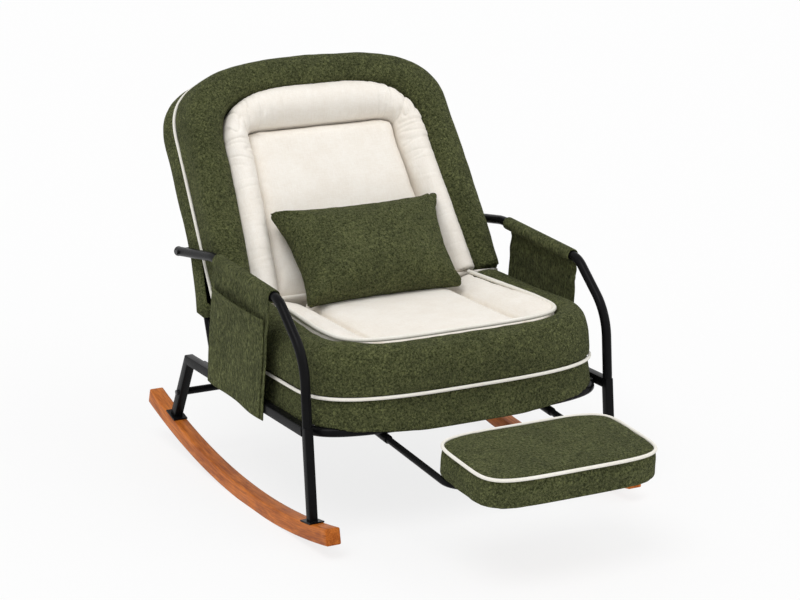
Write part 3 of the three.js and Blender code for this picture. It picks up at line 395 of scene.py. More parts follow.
webbing = ribbed("webbing", (0.010, 0.010, 0.011), (0.045, 0.045, 0.048), 2.4)
plywood = plywood_board()
black_plastic = plain_finish(
    "black_plastic", (0.008, 0.008, 0.009), (0.018, 0.018, 0.02), 0.9, 0.1, Roughness=0.5
)
zinc_bolt = plain_finish(
    "zinc_bolt", (0.030, 0.030, 0.033), (0.065, 0.065, 0.070), 2.5, 0.05, Roughness=0.38,
    Metallic=0.9,
)
lining = plain_finish("lining", (0.012,) * 3, (0.03,) * 3, 1.2, 0.2, Roughness=0.95)
print("five small finishes")

# %% [markdown]
# ## Tools for making pieces
# Almost every piece is a section that runs along a path. A ring starts as a circle and is moved
# onto its places, then its edges are extruded from one section to the next.


# %% Rings and skins
def ring_edges(bm, loop):
    return [bm.edges.get((a, b)) for a, b in zip(loop, loop[1:] + loop[:1])]


def first_ring(bm, places):
    loop = bmesh.ops.create_circle(bm, cap_ends=False, segments=len(places), radius=1)["verts"]
    for vertex, place in zip(loop, places):
        vertex.co = place
    return loop


def next_ring(bm, loop, places):
    grown = bmesh.ops.extrude_edge_only(bm, edges=ring_edges(bm, loop))["geom"]
    fresh = {g for g in grown if isinstance(g, bmesh.types.BMVert)}
    following = []
    for vertex, place in zip(loop, places):
        others = (edge.other_vert(vertex) for edge in vertex.link_edges)
        partner = next(other for other in others if other in fresh)
        partner.co = place
        following.append(partner)
    return following


def skin(rings, joined=False, open_ends=False):
    """A surface through rings of places, closed at its ends or joined end to start."""
    bm = bmesh.new()
    first = last = first_ring(bm, rings[0])
    for places in rings[1:]:
        last = next_ring(bm, last, places)
    ends = [ring_edges(bm, first), ring_edges(bm, last)]
    if joined:
        bmesh.ops.bridge_loops(bm, edges=ends[0] + ends[1])
    elif not open_ends:
        for edges in ends:
            bmesh.ops.edgeloop_fill(bm, edges=edges)
    bmesh.ops.recalc_face_normals(bm, faces=bm.faces[:])
    return bm


print("a skin is one ring, extruded from section to section")


# %% Paths
def bent(corners, radii, step=math.radians(5)):
    """A path through corners, each rounded to its radius."""
    path = [Vector(corners[0])]
    for before, corner, after, radius in zip(corners, corners[1:], corners[2:], radii):
        corner = Vector(corner)
        back = (Vector(before) - corner).normalized()
        on = (Vector(after) - corner).normalized()
        half = back.angle(on) / 2
        start = corner + back * (radius / math.tan(half))
        centre = corner + (back + on).normalized() * (radius / math.sin(half))
        arm = start - centre
        sweep = math.pi - 2 * half
        steps = max(2, math.ceil(sweep / step))
        axis = back.cross(on).normalized()
        for k in range(steps + 1):
            path.append(centre + Matrix.Rotation(-sweep * k / steps, 3, axis) @ arm)
    path.append(Vector(corners[-1]))
    return path


def directions(path, joined=False):
    """The way along a path at each of its places."""
    count = len(path)
    ways = []
    for i, here in enumerate(path):
        before = path[i - 1] if i or joined else here
        after = path[(i + 1) % count] if i + 1 < count or joined else here
        way = Vector((0, 0, 0))
        for a, b in ((before, here), (here, after)):
            if (b - a).length > 1e-6:
                way += (b - a).normalized()
        ways.append(way.normalized())
    return ways


print("a bend of 90 degrees has", len(bent([(0, 0, 0), (99, 0, 0), (99, 99, 0)], [40])), "places")

# %% Tubes, bars and turned pieces
MERGE = 0.01


def tube_rings(path, radius, sides, joined=False, cuts=(None, None)):
    """Rings round a path that don't twist. A cut is the normal of the plane that ends it."""
    ways = directions(path, joined)
    side = ways[0].orthogonal().normalized()
    rings = []
    for i, (place, way) in enumerate(zip(path, ways)):
        if i:
            side = ways[i - 1].rotation_difference(way) @ side
        side = (side - way * side.dot(way)).normalized()
        other = way.cross(side)
        turns = [2 * math.pi * k / sides for k in range(sides)]
        rings.append([place + (side * math.cos(t) + other * math.sin(t)) * radius for t in turns])
    for end, cut in zip((0, -1), cuts):
        if cut is not None:
            flat, way, stop = Vector(cut), ways[end], path[end]
            rings[end] = [p - way * ((p - stop).dot(flat) / way.dot(flat)) for p in rings[end]]
    return rings


def tube(path, radius, sides=20, joined=False, cuts=(None, None)):
    return skin(tube_rings(path, radius, sides, joined, cuts), joined)


def sleeve(start, end, outer, inner, sides=24):
    """A short pipe with its bore, as one closed run of four rings."""
    path = [Vector(start), Vector(end)]
    around, within = tube_rings(path, outer, sides), tube_rings(path, inner, sides)
    return skin([around[0], around[1], within[1], within[0]], joined=True)


def eased_edges(bm, edges, size):
    bmesh.ops.bevel(
        bm, geom=edges, offset=size, segments=3, profile=0.5, affect="EDGES", material=-1
    )


def square_bar(side, start, end, start_cut, end_cut, rounding=2.0):
    """A square tube in a side plane, each end on its own plane, with rolled corners."""
    way = (end - start).normalized()
    across = Vector((1, 0, 0))
    over = way.cross(across)
    half = side / 2
    rings = []
    for place, cut in ((start, start_cut), (end, end_cut)):
        corners = []
        for a, b in ((-1, -1), (1, -1), (1, 1), (-1, 1)):
            arm = across * (a * half) + over * (b * half)
            corners.append(place + arm - way * (arm.dot(cut) / way.dot(cut)))
        rings.append(corners)
    bm = skin(rings)
    straight = [(edge, edge.verts[0].co - edge.verts[1].co) for edge in bm.edges]
    eased_edges(bm, [e for e, run in straight if abs(run.normalized().dot(way)) > 0.99], rounding)
    return bm


def turned(profile, place, way, sides=28):
    """A turned piece: a profile of (radius, height) spun about the way through the place."""
    bm = bmesh.new()
    last = bmesh.ops.create_vert(bm, co=(profile[0][0], 0, profile[0][1]))["vert"][0]
    for radius, height in profile[1:]:
        grown = bmesh.ops.extrude_vert_indiv(bm, verts=[last])
        last = grown["verts"][0]
        last.co = (radius, 0, height)
    bmesh.ops.spin(
        bm, geom=bm.verts[:] + bm.edges[:], cent=(0, 0, 0), axis=(0, 0, 1), dvec=(0, 0, 0),
        angle=2 * math.pi, steps=sides, use_merge=True, use_duplicate=False,
    )
    bmesh.ops.remove_doubles(bm, verts=bm.verts[:], dist=MERGE)
    bmesh.ops.recalc_face_normals(bm, faces=bm.faces[:])
    turn = Vector((0, 0, 1)).rotation_difference(Vector(way)).to_matrix()
    bmesh.ops.rotate(bm, verts=bm.verts[:], cent=(0, 0, 0), matrix=turn)
    bmesh.ops.translate(bm, verts=bm.verts[:], vec=Vector(place))
    return bm


print("tubes, sleeves, square bars and turned pieces")


def mesh_object(name, bm, finish):
    mesh = bpy.data.meshes.new(name)
    bm.to_mesh(mesh)
    bm.free()
    mesh.materials.append(finish)
    return linked(name, mesh)


def smoothed(mesh):
    mesh.polygons.foreach_set("use_smooth", [True] * len(mesh.polygons))


def piece(name, bm, finish, nodes=(), sharp=38, body="chair"):
    """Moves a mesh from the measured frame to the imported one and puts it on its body."""
    bmesh.ops.translate(bm, verts=bm.verts[:], vec=(0, FRONT_SHIFT, 0))
    bmesh.ops.scale(bm, verts=bm.verts[:], vec=(MM, MM, MM))
    made = mesh_object(name, bm, finish)
    smoothed(made.data)
    if sharp:
        made.data.set_sharp_from_angle(angle=math.radians(sharp))
    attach(made, body)
    if nodes:
        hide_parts(*nodes)
    return made


def finished(node, finish):
    """Gives a CAD node that stays its better material."""
    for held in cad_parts[node].material_slots:
        held.material = finish


SIDES = (("left", -1), ("right", 1))
HALF_SPREAD = 350

# %% [markdown]
# ## Runners
# A runner is a bar of wood on a circle of 1.76 metres. Spinning a rectangle about the circle's
# centre makes it, with the mesh along the curve. The bottom is pressed flat where the chair
# stands, and every arris is eased with a small bevel.

# %% Runners
ROCK_HEIGHT = 34
ROCK_THICKNESS = 32
ROCK_FRONT_Y, ROCK_REAR_Y = -506, 380
ROCK_ARRIS = 3.2


def runner(x):
    centre = Vector((x, ROCK_MIDDLE_Y, ROCK_CENTRE_Z))
    half = ROCK_THICKNESS / 2
    bm = bmesh.new()
    inner = ROCK_RADIUS - ROCK_HEIGHT
    corners = ((-1, ROCK_RADIUS), (1, ROCK_RADIUS), (1, inner), (-1, inner))
    first_ring(bm, [centre + Vector((a * half, 0, -radius)) for a, radius in corners])
    start = math.asin((ROCK_FRONT_Y - ROCK_MIDDLE_Y) / ROCK_RADIUS)
    end = math.asin((ROCK_REAR_Y - ROCK_MIDDLE_Y) / ROCK_RADIUS)
    turn = Matrix.Rotation(start, 3, "X")
    bmesh.ops.rotate(bm, verts=bm.verts[:], cent=centre, matrix=turn)
    bmesh.ops.spin(
        bm, geom=bm.verts[:] + bm.edges[:], cent=centre, axis=(1, 0, 0), dvec=(0, 0, 0),
        angle=end - start, steps=56, use_merge=False, use_duplicate=False,
    )
    bmesh.ops.remove_doubles(bm, verts=bm.verts[:], dist=MERGE)
    bmesh.ops.holes_fill(bm, edges=[e for e in bm.edges if e.is_boundary], sides=4)
    bmesh.ops.recalc_face_normals(bm, faces=bm.faces[:])
    arrises = [e for e in bm.edges if len(e.link_faces) == 2 and e.calc_face_angle() > 0.8]
    eased_edges(bm, arrises, ROCK_ARRIS)
    for vertex in bm.verts:
        vertex.co.z = max(vertex.co.z, 0)
    return bm


for side, sign in SIDES:
    made = piece(f"{side}_runner", runner(sign * HALF_SPREAD), runner_wood, [f"rocker_{side}"])
    print(made.name, len(made.data.polygons), "faces")

# %% [markdown]
# ## Legs and rails
# Below the seat the frame is square tube: a rail along each side, a front leg that carries on
# from the arm tube, and a rear leg that meets the rail in a mitre. Each bar is a square section
# between two planes, so a mitre is only the plane that two bars share.

# %% Legs and rails
PLATE_TOP = 3.3
WELD_GAP = 0.3
LEG_TUBE, RAIL_TUBE = 18, 20
RAIL_TOP = 240
RAIL_Z = RAIL_TOP - RAIL_TUBE / 2
RAIL_REAR_Y = 184
LEG_TOP_Y, FRONT_FOOT_Y, REAR_FOOT_Y = -391.5, -410, 257
CROSSBAR_Z, CROSSBAR_RADIUS, CROSSBAR_HALF = 145, 8, Vector((339.7, 0, 0))


def footing(y, lift):
    """A place above the runner's top, and the way up from it."""
    reach = ROCK_RADIUS - ROCK_HEIGHT
    angle = math.asin((y - ROCK_MIDDLE_Y) / reach)
    up = Vector((0, -math.sin(angle), math.cos(angle)))
    return Vector((0, y, ROCK_CENTRE_Z - reach * math.cos(angle))) + up * lift, up


front_foot, front_up = footing(FRONT_FOOT_Y, PLATE_TOP + WELD_GAP)
rear_foot, rear_up = footing(REAR_FOOT_Y, PLATE_TOP + WELD_GAP)
leg_top = Vector((0, LEG_TOP_Y, RAIL_TOP))
leg_way = (front_foot - leg_top).normalized()
slant = math.atan2(rear_foot.y - RAIL_REAR_Y, RAIL_Z - rear_foot.z)
corner = RAIL_TUBE / 2 * math.tan((math.pi / 2 - slant) / 2)
rail_end = Vector((0, RAIL_REAR_Y - corner, RAIL_Z))
rear_way = (rear_foot - rail_end).normalized()
mitre = (Vector((0, 1, 0)) + rear_way).normalized()
leg_normal = Vector((0, -leg_way.z, leg_way.y))
rail_start = leg_top.lerp(front_foot, (RAIL_TOP - RAIL_Z) / (RAIL_TOP - front_foot.z))
rail_start.z = RAIL_Z
rail_start.y += (LEG_TUBE / 2 + WELD_GAP) / abs(leg_way.z)
cross_place = rail_end.lerp(rear_foot, (RAIL_Z - CROSSBAR_Z) / (RAIL_Z - rear_foot.z))
for side, sign in SIDES:
    shift = Vector((sign * HALF_SPREAD, 0, 0))
    bars = (
        ("front_leg", LEG_TUBE, leg_top, front_foot, Vector((0, 0, 1)), front_up),
        ("side_rail", RAIL_TUBE, rail_start, rail_end, leg_normal, mitre),
        ("rear_leg", RAIL_TUBE, rail_end + rear_way * WELD_GAP, rear_foot, mitre, rear_up),
    )
    for name, width, start, end, start_cut, end_cut in bars:
        bar = square_bar(width, start + shift, end + shift, start_cut, end_cut)
        piece(f"{side}_{name}", bar, frame_steel, [f"{name}_{side}"])
crossbar = tube([cross_place - CROSSBAR_HALF, cross_place + CROSSBAR_HALF], CROSSBAR_RADIUS)
piece("crossbar", crossbar, frame_steel, ["rear_crossbar"])
print("rear leg meets the rail at", tuple(round(c, 1) for c in rail_end))

# %% [markdown]
# ## Back and arm tubes
# The back leans at 33.4 degrees, so its places are given in its own plane: across, up along the
# lean, and out of its front. The arms are one tube each, bent four times in real arcs, because
# light runs along a satin tube and shows every flat.

# %% The back's own plane
BACK_TOP = 546
LEAN = math.radians(33.4)
BACK_FOOT = Vector((0, 3.5, 399.5))
BACK_UP = Vector((0, math.sin(LEAN), math.cos(LEAN)))
BACK_OUT = Vector((0, -math.cos(LEAN), math.sin(LEAN)))


def on_back(u, v, w):
    return BACK_FOOT + Vector((u, 0, 0)) + BACK_UP * v + BACK_OUT * w


def back_place(point):
    """Across, up and out of the back's plane for a measured place."""
    arm = point - BACK_FOOT
    return arm.x, arm.dot(BACK_UP), arm.dot(BACK_OUT)


def arch(sides, top, power, side_steps=8, corner_steps=26):
    """Up the left side, round a full corner to the top, and down the right side."""
    shoulder, start = sides[-1]
    left = []
    for (half, height), (next_half, next_height) in zip(sides, sides[1:]):
        for share in (k / side_steps for k in range(side_steps)):
            left.append(
                (half + (next_half - half) * share, height + (next_height - height) * share)
            )
    for angle in (math.pi / 2 * k / corner_steps for k in range(corner_steps)):
        left.append((
            shoulder * math.cos(angle) ** (2 / power),
            start + (top - start) * math.sin(angle) ** (2 / power),
        ))
    return [(-half, height) for half, height in left] + [(0, top)] + left[::-1]


print("top of the back", tuple(round(c, 1) for c in on_back(0, BACK_TOP, 0)))

# %% Back and arm tubes
TUBE_RADIUS = 10
POST_W = -134.7
ARM_REAR, ARM_FRONT, KNEE = (45, 488), (-270, 471), (-381, 378)
ARM_SLOPE = (ARM_REAR[1] - ARM_FRONT[1]) / (ARM_REAR[0] - ARM_FRONT[0])
ARM_END = (223.2, 461.3)
BOSS = [(0, 0), (8, 0), (8, 16.3), (0, 16.3)]
CAP = [(0, 0), (10.4, 0), (10.6, 0.8), (10.6, 2.2), (9.6, 3.6), (6, 4.6), (0, 5)]
for side, sign in SIDES:
    spots = ((340, -101.9), (315.5, 150), (308.6, 290), (308.6, 319.7))
    corners = [on_back(sign * u, v, POST_W) for u, v in spots]
    bm = tube(bent(corners, [600, 400], math.radians(1.5)), TUBE_RADIUS, cuts=((0, 0, 1), None))
    piece(f"{side}_back_post", bm, frame_steel, [f"back_post_{side}"])
    boss = turned(BOSS, (sign * 323.4, 207.2, 463.7), (sign, 0, 0))
    piece(f"{side}_arm_boss", boss, frame_steel)
    spots = (ARM_END, ARM_REAR, ARM_FRONT, KNEE, (LEG_TOP_Y, 246.3), (LEG_TOP_Y, 240.3))
    corners = [(sign * HALF_SPREAD, y, z) for y, z in spots]
    arm = bent(corners, [120, 60, 120, 120], math.radians(3))
    bm = tube(arm, TUBE_RADIUS, 24, cuts=(None, (0, 0, 1)))
    piece(f"{side}_arm_tube", bm, frame_steel, [f"arm_tube_{side}"])
    rear = Vector(corners[0])
    cap = turned(CAP, rear, (rear - Vector(corners[1])).normalized())
    piece(f"{side}_arm_cap", cap, black_plastic, [f"arm_cap_{side}"])
arch_spots = arch([(308.6, 320), (308.6, 370)], 532.6, 3.2, 2)
arch_path = [on_back(u, v, POST_W) for u, v in arch_spots]
piece("back_arch", tube(arch_path, TUBE_RADIUS), frame_steel, ["back_arch_tube"])
print("arm tube has", len(arm), "places")

# %% [markdown]
# ## Seat frame and footrest slide
# A round hoop bows forward under the seat, with a bar at its rear and one across the middle.
# Two guides hang from them, and the U of thin tube slides in these. The guides are real pipes
# with a bore, because the slide passes through them at every pose.

# %% Seat frame and footrest slide
HOOP_Z, HOOP_REAR_Y = 222, 150
HOOP_HALF, HOOP_SIDE, HOOP_DEPTH, HOOP_POWER = 329.7, 471, 576, 3.2
GUIDE_BAR_Y = -185
SLIDE_HALF, SLIDE_REAR_Y = 190, -341
FALL = math.radians(5)
REST_AXIS_Y = -690


def slide_z(y):
    return HOOP_Z - 19.3 + (y + 416) * math.tan(FALL)


hoop_outline = arch([(HOOP_HALF, 0), (HOOP_HALF, HOOP_SIDE)], HOOP_DEPTH, HOOP_POWER, 2)
hoop = [Vector((x, HOOP_REAR_Y - v, HOOP_Z)) for x, v in hoop_outline]
piece("seat_frame_hoop", tube(hoop, TUBE_RADIUS), frame_steel, ["seat_hoop"])
for name, node, y in (("rear_bar", "seat_rear_bar", 130), ("slide_bar", "guide_bar", GUIDE_BAR_Y)):
    bar = tube([Vector((x, y, HOOP_Z)) for x in (-319.4, 319.4)], TUBE_RADIUS)
    piece(name, bar, frame_steel, [node])
for side, sign in SIDES:
    ends = [(sign * SLIDE_HALF, y, slide_z(y)) for y in (-431, -195.3)]
    piece(f"{side}_guide", sleeve(*ends, 9, 7.45), frame_steel, [f"footrest_guide_{side}"])
spots = (
    (-SLIDE_HALF, SLIDE_REAR_Y), (-SLIDE_HALF, REST_AXIS_Y), (SLIDE_HALF, REST_AXIS_Y),
    (SLIDE_HALF, SLIDE_REAR_Y),
)
slide = tube(bent([(x, y, slide_z(y)) for x, y in spots], [42, 42]), 7, 20)
piece("footrest_slide", slide, frame_steel, ["footrest_tube"], body="footrest_slide_frame")
print("slide falls to", round(slide_z(REST_AXIS_Y), 1), "mm at the pad")

# %% [markdown]
# ## Straps under the seat
# Three bands of webbing cross the hoop and carry the cushion, and one wide band crosses the
# back. A band is a flat section run across the chair, its edges a little worn round.

# %% Straps
STRAP_WIDTH = 90
STRAP_YS = (-321, -128, 65)


def band(name, places, width_way, width, nodes, thickness=2.2):
    rings = []
    for i, place in enumerate(places):
        before, after = places[max(i - 1, 0)], places[min(i + 1, len(places) - 1)]
        over = (after - before).normalized().cross(width_way).normalized()
        half, rise = width_way * (width / 2), over * (thickness / 2)
        edge = width_way * (thickness * 0.6)
        rings.append([
            place - half + rise * 0.4, place - half + edge - rise, place + half - edge - rise,
            place + half - rise * 0.4, place + half + rise * 0.4, place + half - edge + rise,
            place - half + edge + rise, place - half - rise * 0.4,
        ])
    return piece(name, skin(rings), webbing, nodes, 60)


for i, y in enumerate(STRAP_YS, 1):
    places = [Vector((x, y, 233.5)) for x in (-331.7, -200, -70, 70, 200, 331.7)]
    band(f"seat_webbing_{i}", places, Vector((0, 1, 0)), STRAP_WIDTH, [f"seat_strap_{i}"])
places = [on_back(u, 260, -123.2) for u in (-314.6, -150, 0, 150, 314.6)]
band("back_webbing", places, BACK_UP, 220, ["back_strap"])
print("straps at y", STRAP_YS)

# %% [markdown]
# ## How a cushion is made
# A cushion starts as the shape of its foam. It is remeshed into even squares, smoothed, and
# blown up a little by the cloth simulation, as a tight cover rounds its edges, but not where it
# lies on something. Seams, channels and wrinkles are pressed in after that.


# %% Remesh, swell and press
def coordinates_of(mesh):
    numbers = [0.0] * (len(mesh.vertices) * 3)
    mesh.vertices.foreach_get("co", numbers)
    return [Vector(numbers[i:i + 3]) for i in range(0, len(numbers), 3)]


def baked(made):
    """Puts the piece's modifiers into its mesh."""
    graph = bpy.context.evaluated_depsgraph_get()
    mesh = bpy.data.meshes.new_from_object(made.evaluated_get(graph), depsgraph=graph)
    made.modifiers.clear()
    made.data = mesh
    smoothed(mesh)


def remeshed(made, voxel, smoothing):
    remesh = made.modifiers.new("remesh", "REMESH")
    remesh.mode = "VOXEL"
    remesh.voxel_size = voxel * MM
    baked(made)
    bm = bmesh.new()
    bm.from_mesh(made.data)
    for _ in range(smoothing):
        bmesh.ops.smooth_vert(
            bm, verts=bm.verts[:], factor=0.5, use_axis_x=True, use_axis_y=True, use_axis_z=True
        )
    bm.to_mesh(made.data)
    bm.free()


def swollen(made, cap, room, pressure, frames):
    """Runs the cloth and moves each vertex by its swelling, up to cap and as room allows."""
    rest = coordinates_of(made.data)
    cloth = made.modifiers.new("cloth", "CLOTH")
    cloth.settings.quality = 3
    cloth.settings.use_pressure = True
    cloth.settings.uniform_pressure_force = pressure
    cloth.settings.effector_weights.gravity = 0
    cloth.point_cache.frame_start = 1
    cloth.point_cache.frame_end = frames
    for number in range(1, frames + 1):
        bpy.context.scene.frame_set(number)
    graph = bpy.context.evaluated_depsgraph_get()
    blown = coordinates_of(made.evaluated_get(graph).data)
    made.modifiers.clear()
    bpy.context.scene.frame_set(1)
    limit = cap * MM
    places = []
    for start, end in zip(rest, blown):
        move = end - start
        share = limit * math.tanh(move.length / limit) / max(move.length, 1e-9)
        places.append(start + move * (share * room(measured(start))))
    moved_to(made.data, places)


def dressed(made, wall=0, offset=0, levels=1):
    """Gives a cloth its wall in millimetres, if it has one, and rounds it."""
    if wall:
        cloth = made.modifiers.new("wall", "SOLIDIFY")
        cloth.thickness = wall * MM
        cloth.offset = offset
    refine = made.modifiers.new("refine", "SUBSURF")
    refine.levels = refine.render_levels = levels
    return made


def soften(made, voxel, smoothing, cap, room, pressure=4.0, frames=14):
    remeshed(made, voxel, smoothing)
    swollen(made, cap, room, pressure, frames)
    baked(dressed(made))


def moved_to(mesh, places):
    mesh.vertices.foreach_set("co", [c for place in places for c in place])
    mesh.update()


def lifted(made, height):
    """Moves each vertex up by height(place) millimetres."""
    places = coordinates_of(made.data)
    moved_to(made.data, [p + Vector((0, 0, height(measured(p)) * MM)) for p in places])


def press(made, depth):
    """Moves each vertex along its normal by depth(place) millimetres."""
    places = coordinates_of(made.data)
    normals = [vertex.normal.copy() for vertex in made.data.vertices]
    moved_to(made.data, [
        place + normal * (depth(measured(place)) * MM) for place, normal in zip(places, normals)
    ])


def eased(value, low, high):
    share = min(max((value - low) / (high - low), 0), 1)
    return share * share * (3 - 2 * share)


def groove(distance, width):
    return math.exp(-((distance / width) ** 2))


print("the swelling runs")

# %% [markdown]
# ## Sections of padding
# A border is a ring of padding: at each step round the arch, one closed section lies between
# the inner and the outer seam. A cushion is a pile of rings, each drawn in by its share. Both
# are skins through rings, so one function makes every padded piece of the chair.


# %% Sections of padding
def border_rings(inner, outer, section, place):
    rings = []
    for (ax, ay), (bx, by) in zip(inner, outer):
        rings.append([place(ax + (bx - ax) * run, ay + (by - ay) * run, h) for run, h in section])
    return rings


def stacked_rings(outline, shares, bottom, top, place):
    xs, ys = [p[0] for p in outline], [p[1] for p in outline]
    middle_x, middle_y = (min(xs) + max(xs)) / 2, (min(ys) + max(ys)) / 2
    rings = []
    for size, height in shares:
        level = bottom + (top - bottom) * height
        rings.append([
            place(middle_x + (x - middle_x) * size, middle_y + (y - middle_y) * size, level)
            for x, y in outline
        ])
    return rings


def wander(point, size, seed=0.0):
    """Smooth noise from -1 to 1 with lumps of the given size."""
    return noise.noise(point / size + Vector((seed, seed * 1.7, -seed)))


def uneven(point, *layers):
    """The sum of some layers of noise, each a depth, a size and a seed."""
    return sum(depth * wander(point, size, seed) for depth, size, seed in layers)


def cushion(name, rings, finish, node, how, room, relief, body="chair", lift=None):
    """Skins the foam, softens it by its voxel, smoothing and cap, and presses the relief in."""
    made = piece(name, skin(rings), finish, [node], 0, body)
    soften(made, *how, room)
    if lift:
        lifted(made, lift)
    press(made, relief)
    print(name, len(made.data.polygons), "faces")


def piped(name, path, nodes, radius=3.5, sides=14, joined=False, body="chair"):
    piece(name, tube(path, radius, sides, joined), piping_cloth, nodes, 60, body)


print("noise at the foot", round(wander(BACK_FOOT, 80), 3))

# %% [markdown]
# ## Back cushion
# The back has a green border that crowns forward and rolls over to a piped seam, and a cream
# border inside it that drops to a flat field. Fine wrinkles gather beside the mitred seams at
# the cream border's top corners. Widths and heights are in the plane of the back.

# %% Back outlines
FULL_CORNER = 3.2
BACK_FOOT_HALF, BACK_HALF, BACK_SHOULDER = 335, 322, 370
CREAM_FOOT_HALF, CREAM_TOP = 266, 477
PANEL_HALF = 181


def back_arch_outline(inset):
    sides = [(BACK_FOOT_HALF - inset, 0), (BACK_HALF - inset, BACK_SHOULDER)]
    return arch(sides, BACK_TOP - inset, FULL_CORNER)


def cream_arch_outline(inset):
    return arch([(CREAM_FOOT_HALF - inset, 0), (243 - inset, 300)], CREAM_TOP - inset, FULL_CORNER)


def panel_arch_outline(inset):
    return arch([(207 - inset, 0), (PANEL_HALF - inset, 330)], 388 - inset, 9)


def back_room(low, high, foot=30):
    """Room to swell that grows out of the back's plane and up from its foot."""
    def room(point):
        _, v, w = back_place(point)
        return eased(w, low, high) * eased(v, 0, foot)

    return room


print("border", BACK_FOOT_HALF - CREAM_FOOT_HALF, "wide and", BACK_TOP - CREAM_TOP, "high")

# %% Green border of the back
border_section = [
    (0, -80), (0.45, -80), (0.9, -80), (1.01, -79), (1.03, -74), (1.02, -58), (0.985, -38),
    (0.94, -18), (0.87, -3), (0.76, 5), (0.6, 8), (0.4, 7), (0.24, 3), (0.1, -5), (0.02, -16),
    (0, -45),
]
rings = border_rings(cream_arch_outline(-0.5), back_arch_outline(2), border_section, on_back)
cushion(
    "green_back_border", rings, green_chenille, "back_border", (7, 3, 5), back_room(-62, -20),
    lambda p: uneven(p, (1.3, 70, 3), (0.6, 24, 5)),
)

# %% Cream border of the back
cream_section = [
    (0, -80), (0.5, -80), (1, -80), (1, -45), (0.995, -16), (0.93, -3), (0.8, 4.5), (0.6, 8),
    (0.38, 5.5), (0.2, -1), (0.07, -12), (0, -28), (0, -50),
]


def cream_seams(point):
    """The mitre at each top corner, and the wrinkles that gather beside it."""
    u, v, w = back_place(point)
    across, up = abs(u) - PANEL_HALF, v - BACK_SHOULDER
    mitre = groove(across * 0.86 - up * 0.52, 2.6) * eased(across + up, -14, 8)
    gather = groove(math.hypot(across - 18, up - 30), 90)
    share = eased(v, 355, 385)
    over = noise.noise(Vector((u / 16, v / 90, 3)))
    beside = noise.noise(Vector((u / 90, v / 17, 9)))
    fold = over * share + beside * (1 - share)
    crease = max(0, 1 - abs(fold) / 0.16)
    wrinkles = (0.6 + 2.6 * gather) * (0.7 * fold - crease) * eased(w, -40, -5)
    return -2.2 * mitre + wrinkles + 0.8 * wander(point, 40, 8)


rings = border_rings(panel_arch_outline(-0.5), cream_arch_outline(0.5), cream_section, on_back)
cushion(
    "cream_back_border", rings, cream_cloth, "back_cream_border", (5, 3, 4), back_room(-45, -8),
    cream_seams,
)

# %% Centre field of the back
panel_shares = [
    (0.99, 0), (1, 0.2), (1, 0.8), (0.985, 0.93), (0.95, 0.985), (0.8, 1.01), (0.5, 1.03)
]
rings = stacked_rings(panel_arch_outline(0.8), panel_shares, -80, -30, on_back)
cushion(
    "back_centre_field", rings, cream_cloth, "back_centre_panel", (7, 2, 5),
    back_room(-55, -38, 40), lambda p: uneven(p, (0.9, 90, 2), (0.35, 30, 6)),
)

# %% [markdown]
# ## Cover behind the back
# Behind the piped seam a green shell closes the back over the tube frame. It is a skin of rings
# from the seam round the rear corner to the middle of the rear, and Solidify gives it a wall. A
# thin base pad lies inside it, and the piping fills the seam.

# %% Rear cover
COVER_REAR_W = -151.3
cover_shares = [
    (0.995, -84.5), (1.012, -92), (1.026, -106), (1.026, -124), (1.012, -137), (0.985, -145),
    (0.945, -148.4), (0.86, -149.6), (0.72, -150.4), (0.5, -151), (0.25, -151.2),
    (0.08, COVER_REAR_W),
]
waist = BACK_FOOT_HALF + (BACK_HALF - BACK_FOOT_HALF) * 150 / BACK_SHOULDER
sides = [(352, 0), (waist, 150), (BACK_HALF, BACK_SHOULDER)]
cover_outline = arch(sides, BACK_TOP, FULL_CORNER, 5)
shell = skin(stacked_rings(cover_outline, cover_shares, 0, 1, on_back), open_ends=True)
rim = [
    e for e in shell.edges
    if e.is_boundary and abs(back_place(e.verts[0].co)[2] - COVER_REAR_W) < 0.2
]
bmesh.ops.holes_fill(shell, edges=rim, sides=0)
bmesh.ops.recalc_face_normals(shell, faces=shell.faces[:])
rear_face = min(shell.faces, key=lambda face: back_place(face.calc_center_median())[2])
if rear_face.normal.dot(BACK_OUT) > 0:
    bmesh.ops.reverse_faces(shell, faces=shell.faces[:])
back_cover = piece("rear_cover", shell, green_chenille, ["back_cover"], 0)
baked(dressed(back_cover, 3, -1))


def cover_waves(point):
    return uneven(point, (1.6, 95, 4), (0.7, 28, 7)) * eased(-back_place(point)[2], 88, 110)


press(back_cover, cover_waves)
print("rear cover", len(back_cover.data.polygons), "faces")

# %% Base pad and piping
base_shares = [(0.975, 0), (0.985, 0.15), (0.99, 0.5), (0.985, 0.85), (0.975, 1)]
outline = [(x, max(y, 4)) for x, y in back_arch_outline(4)]
rings = stacked_rings(outline, base_shares, -100, -81, on_back)
base_pad = piece("back_base", skin(rings), lining, ["back_base_pad"], 0)
seam = [on_back(u, v, -79) for u, v in back_arch_outline(0.5)]
piped("back_seam_piping", seam, ["back_piping"])
print("base pad", len(base_pad.data.polygons), "faces")

# %% Lining under the back's foot
LINING_HALF, LINING_W = 327, -42
foot_section = [
    (-3, -77), (-11, -74), (-15, -64), (-15.5, -44), (-15, -24), (-11, -12), (-3, -8), (1, -14),
    (1, -44), (1, -70),
]
foot_shares = (-1, -0.985, -0.95, *[-0.9 + 0.1 * k for k in range(19)], 0.95, 0.985, 1)
rings = []
for share in foot_shares:
    full = 1 - 0.35 * eased(abs(share), 0.94, 1)
    rings.append([
        on_back(share * LINING_HALF, v * full, LINING_W + (w - LINING_W) * full)
        for v, w in foot_section
    ])
foot_lining = piece("back_foot_lining", skin(rings), cream_cloth, (), 0)
baked(dressed(foot_lining, levels=2))
press(foot_lining, lambda p: 0.8 * wander(p, 30, 4))
print("foot lining", len(foot_lining.data.polygons), "faces")

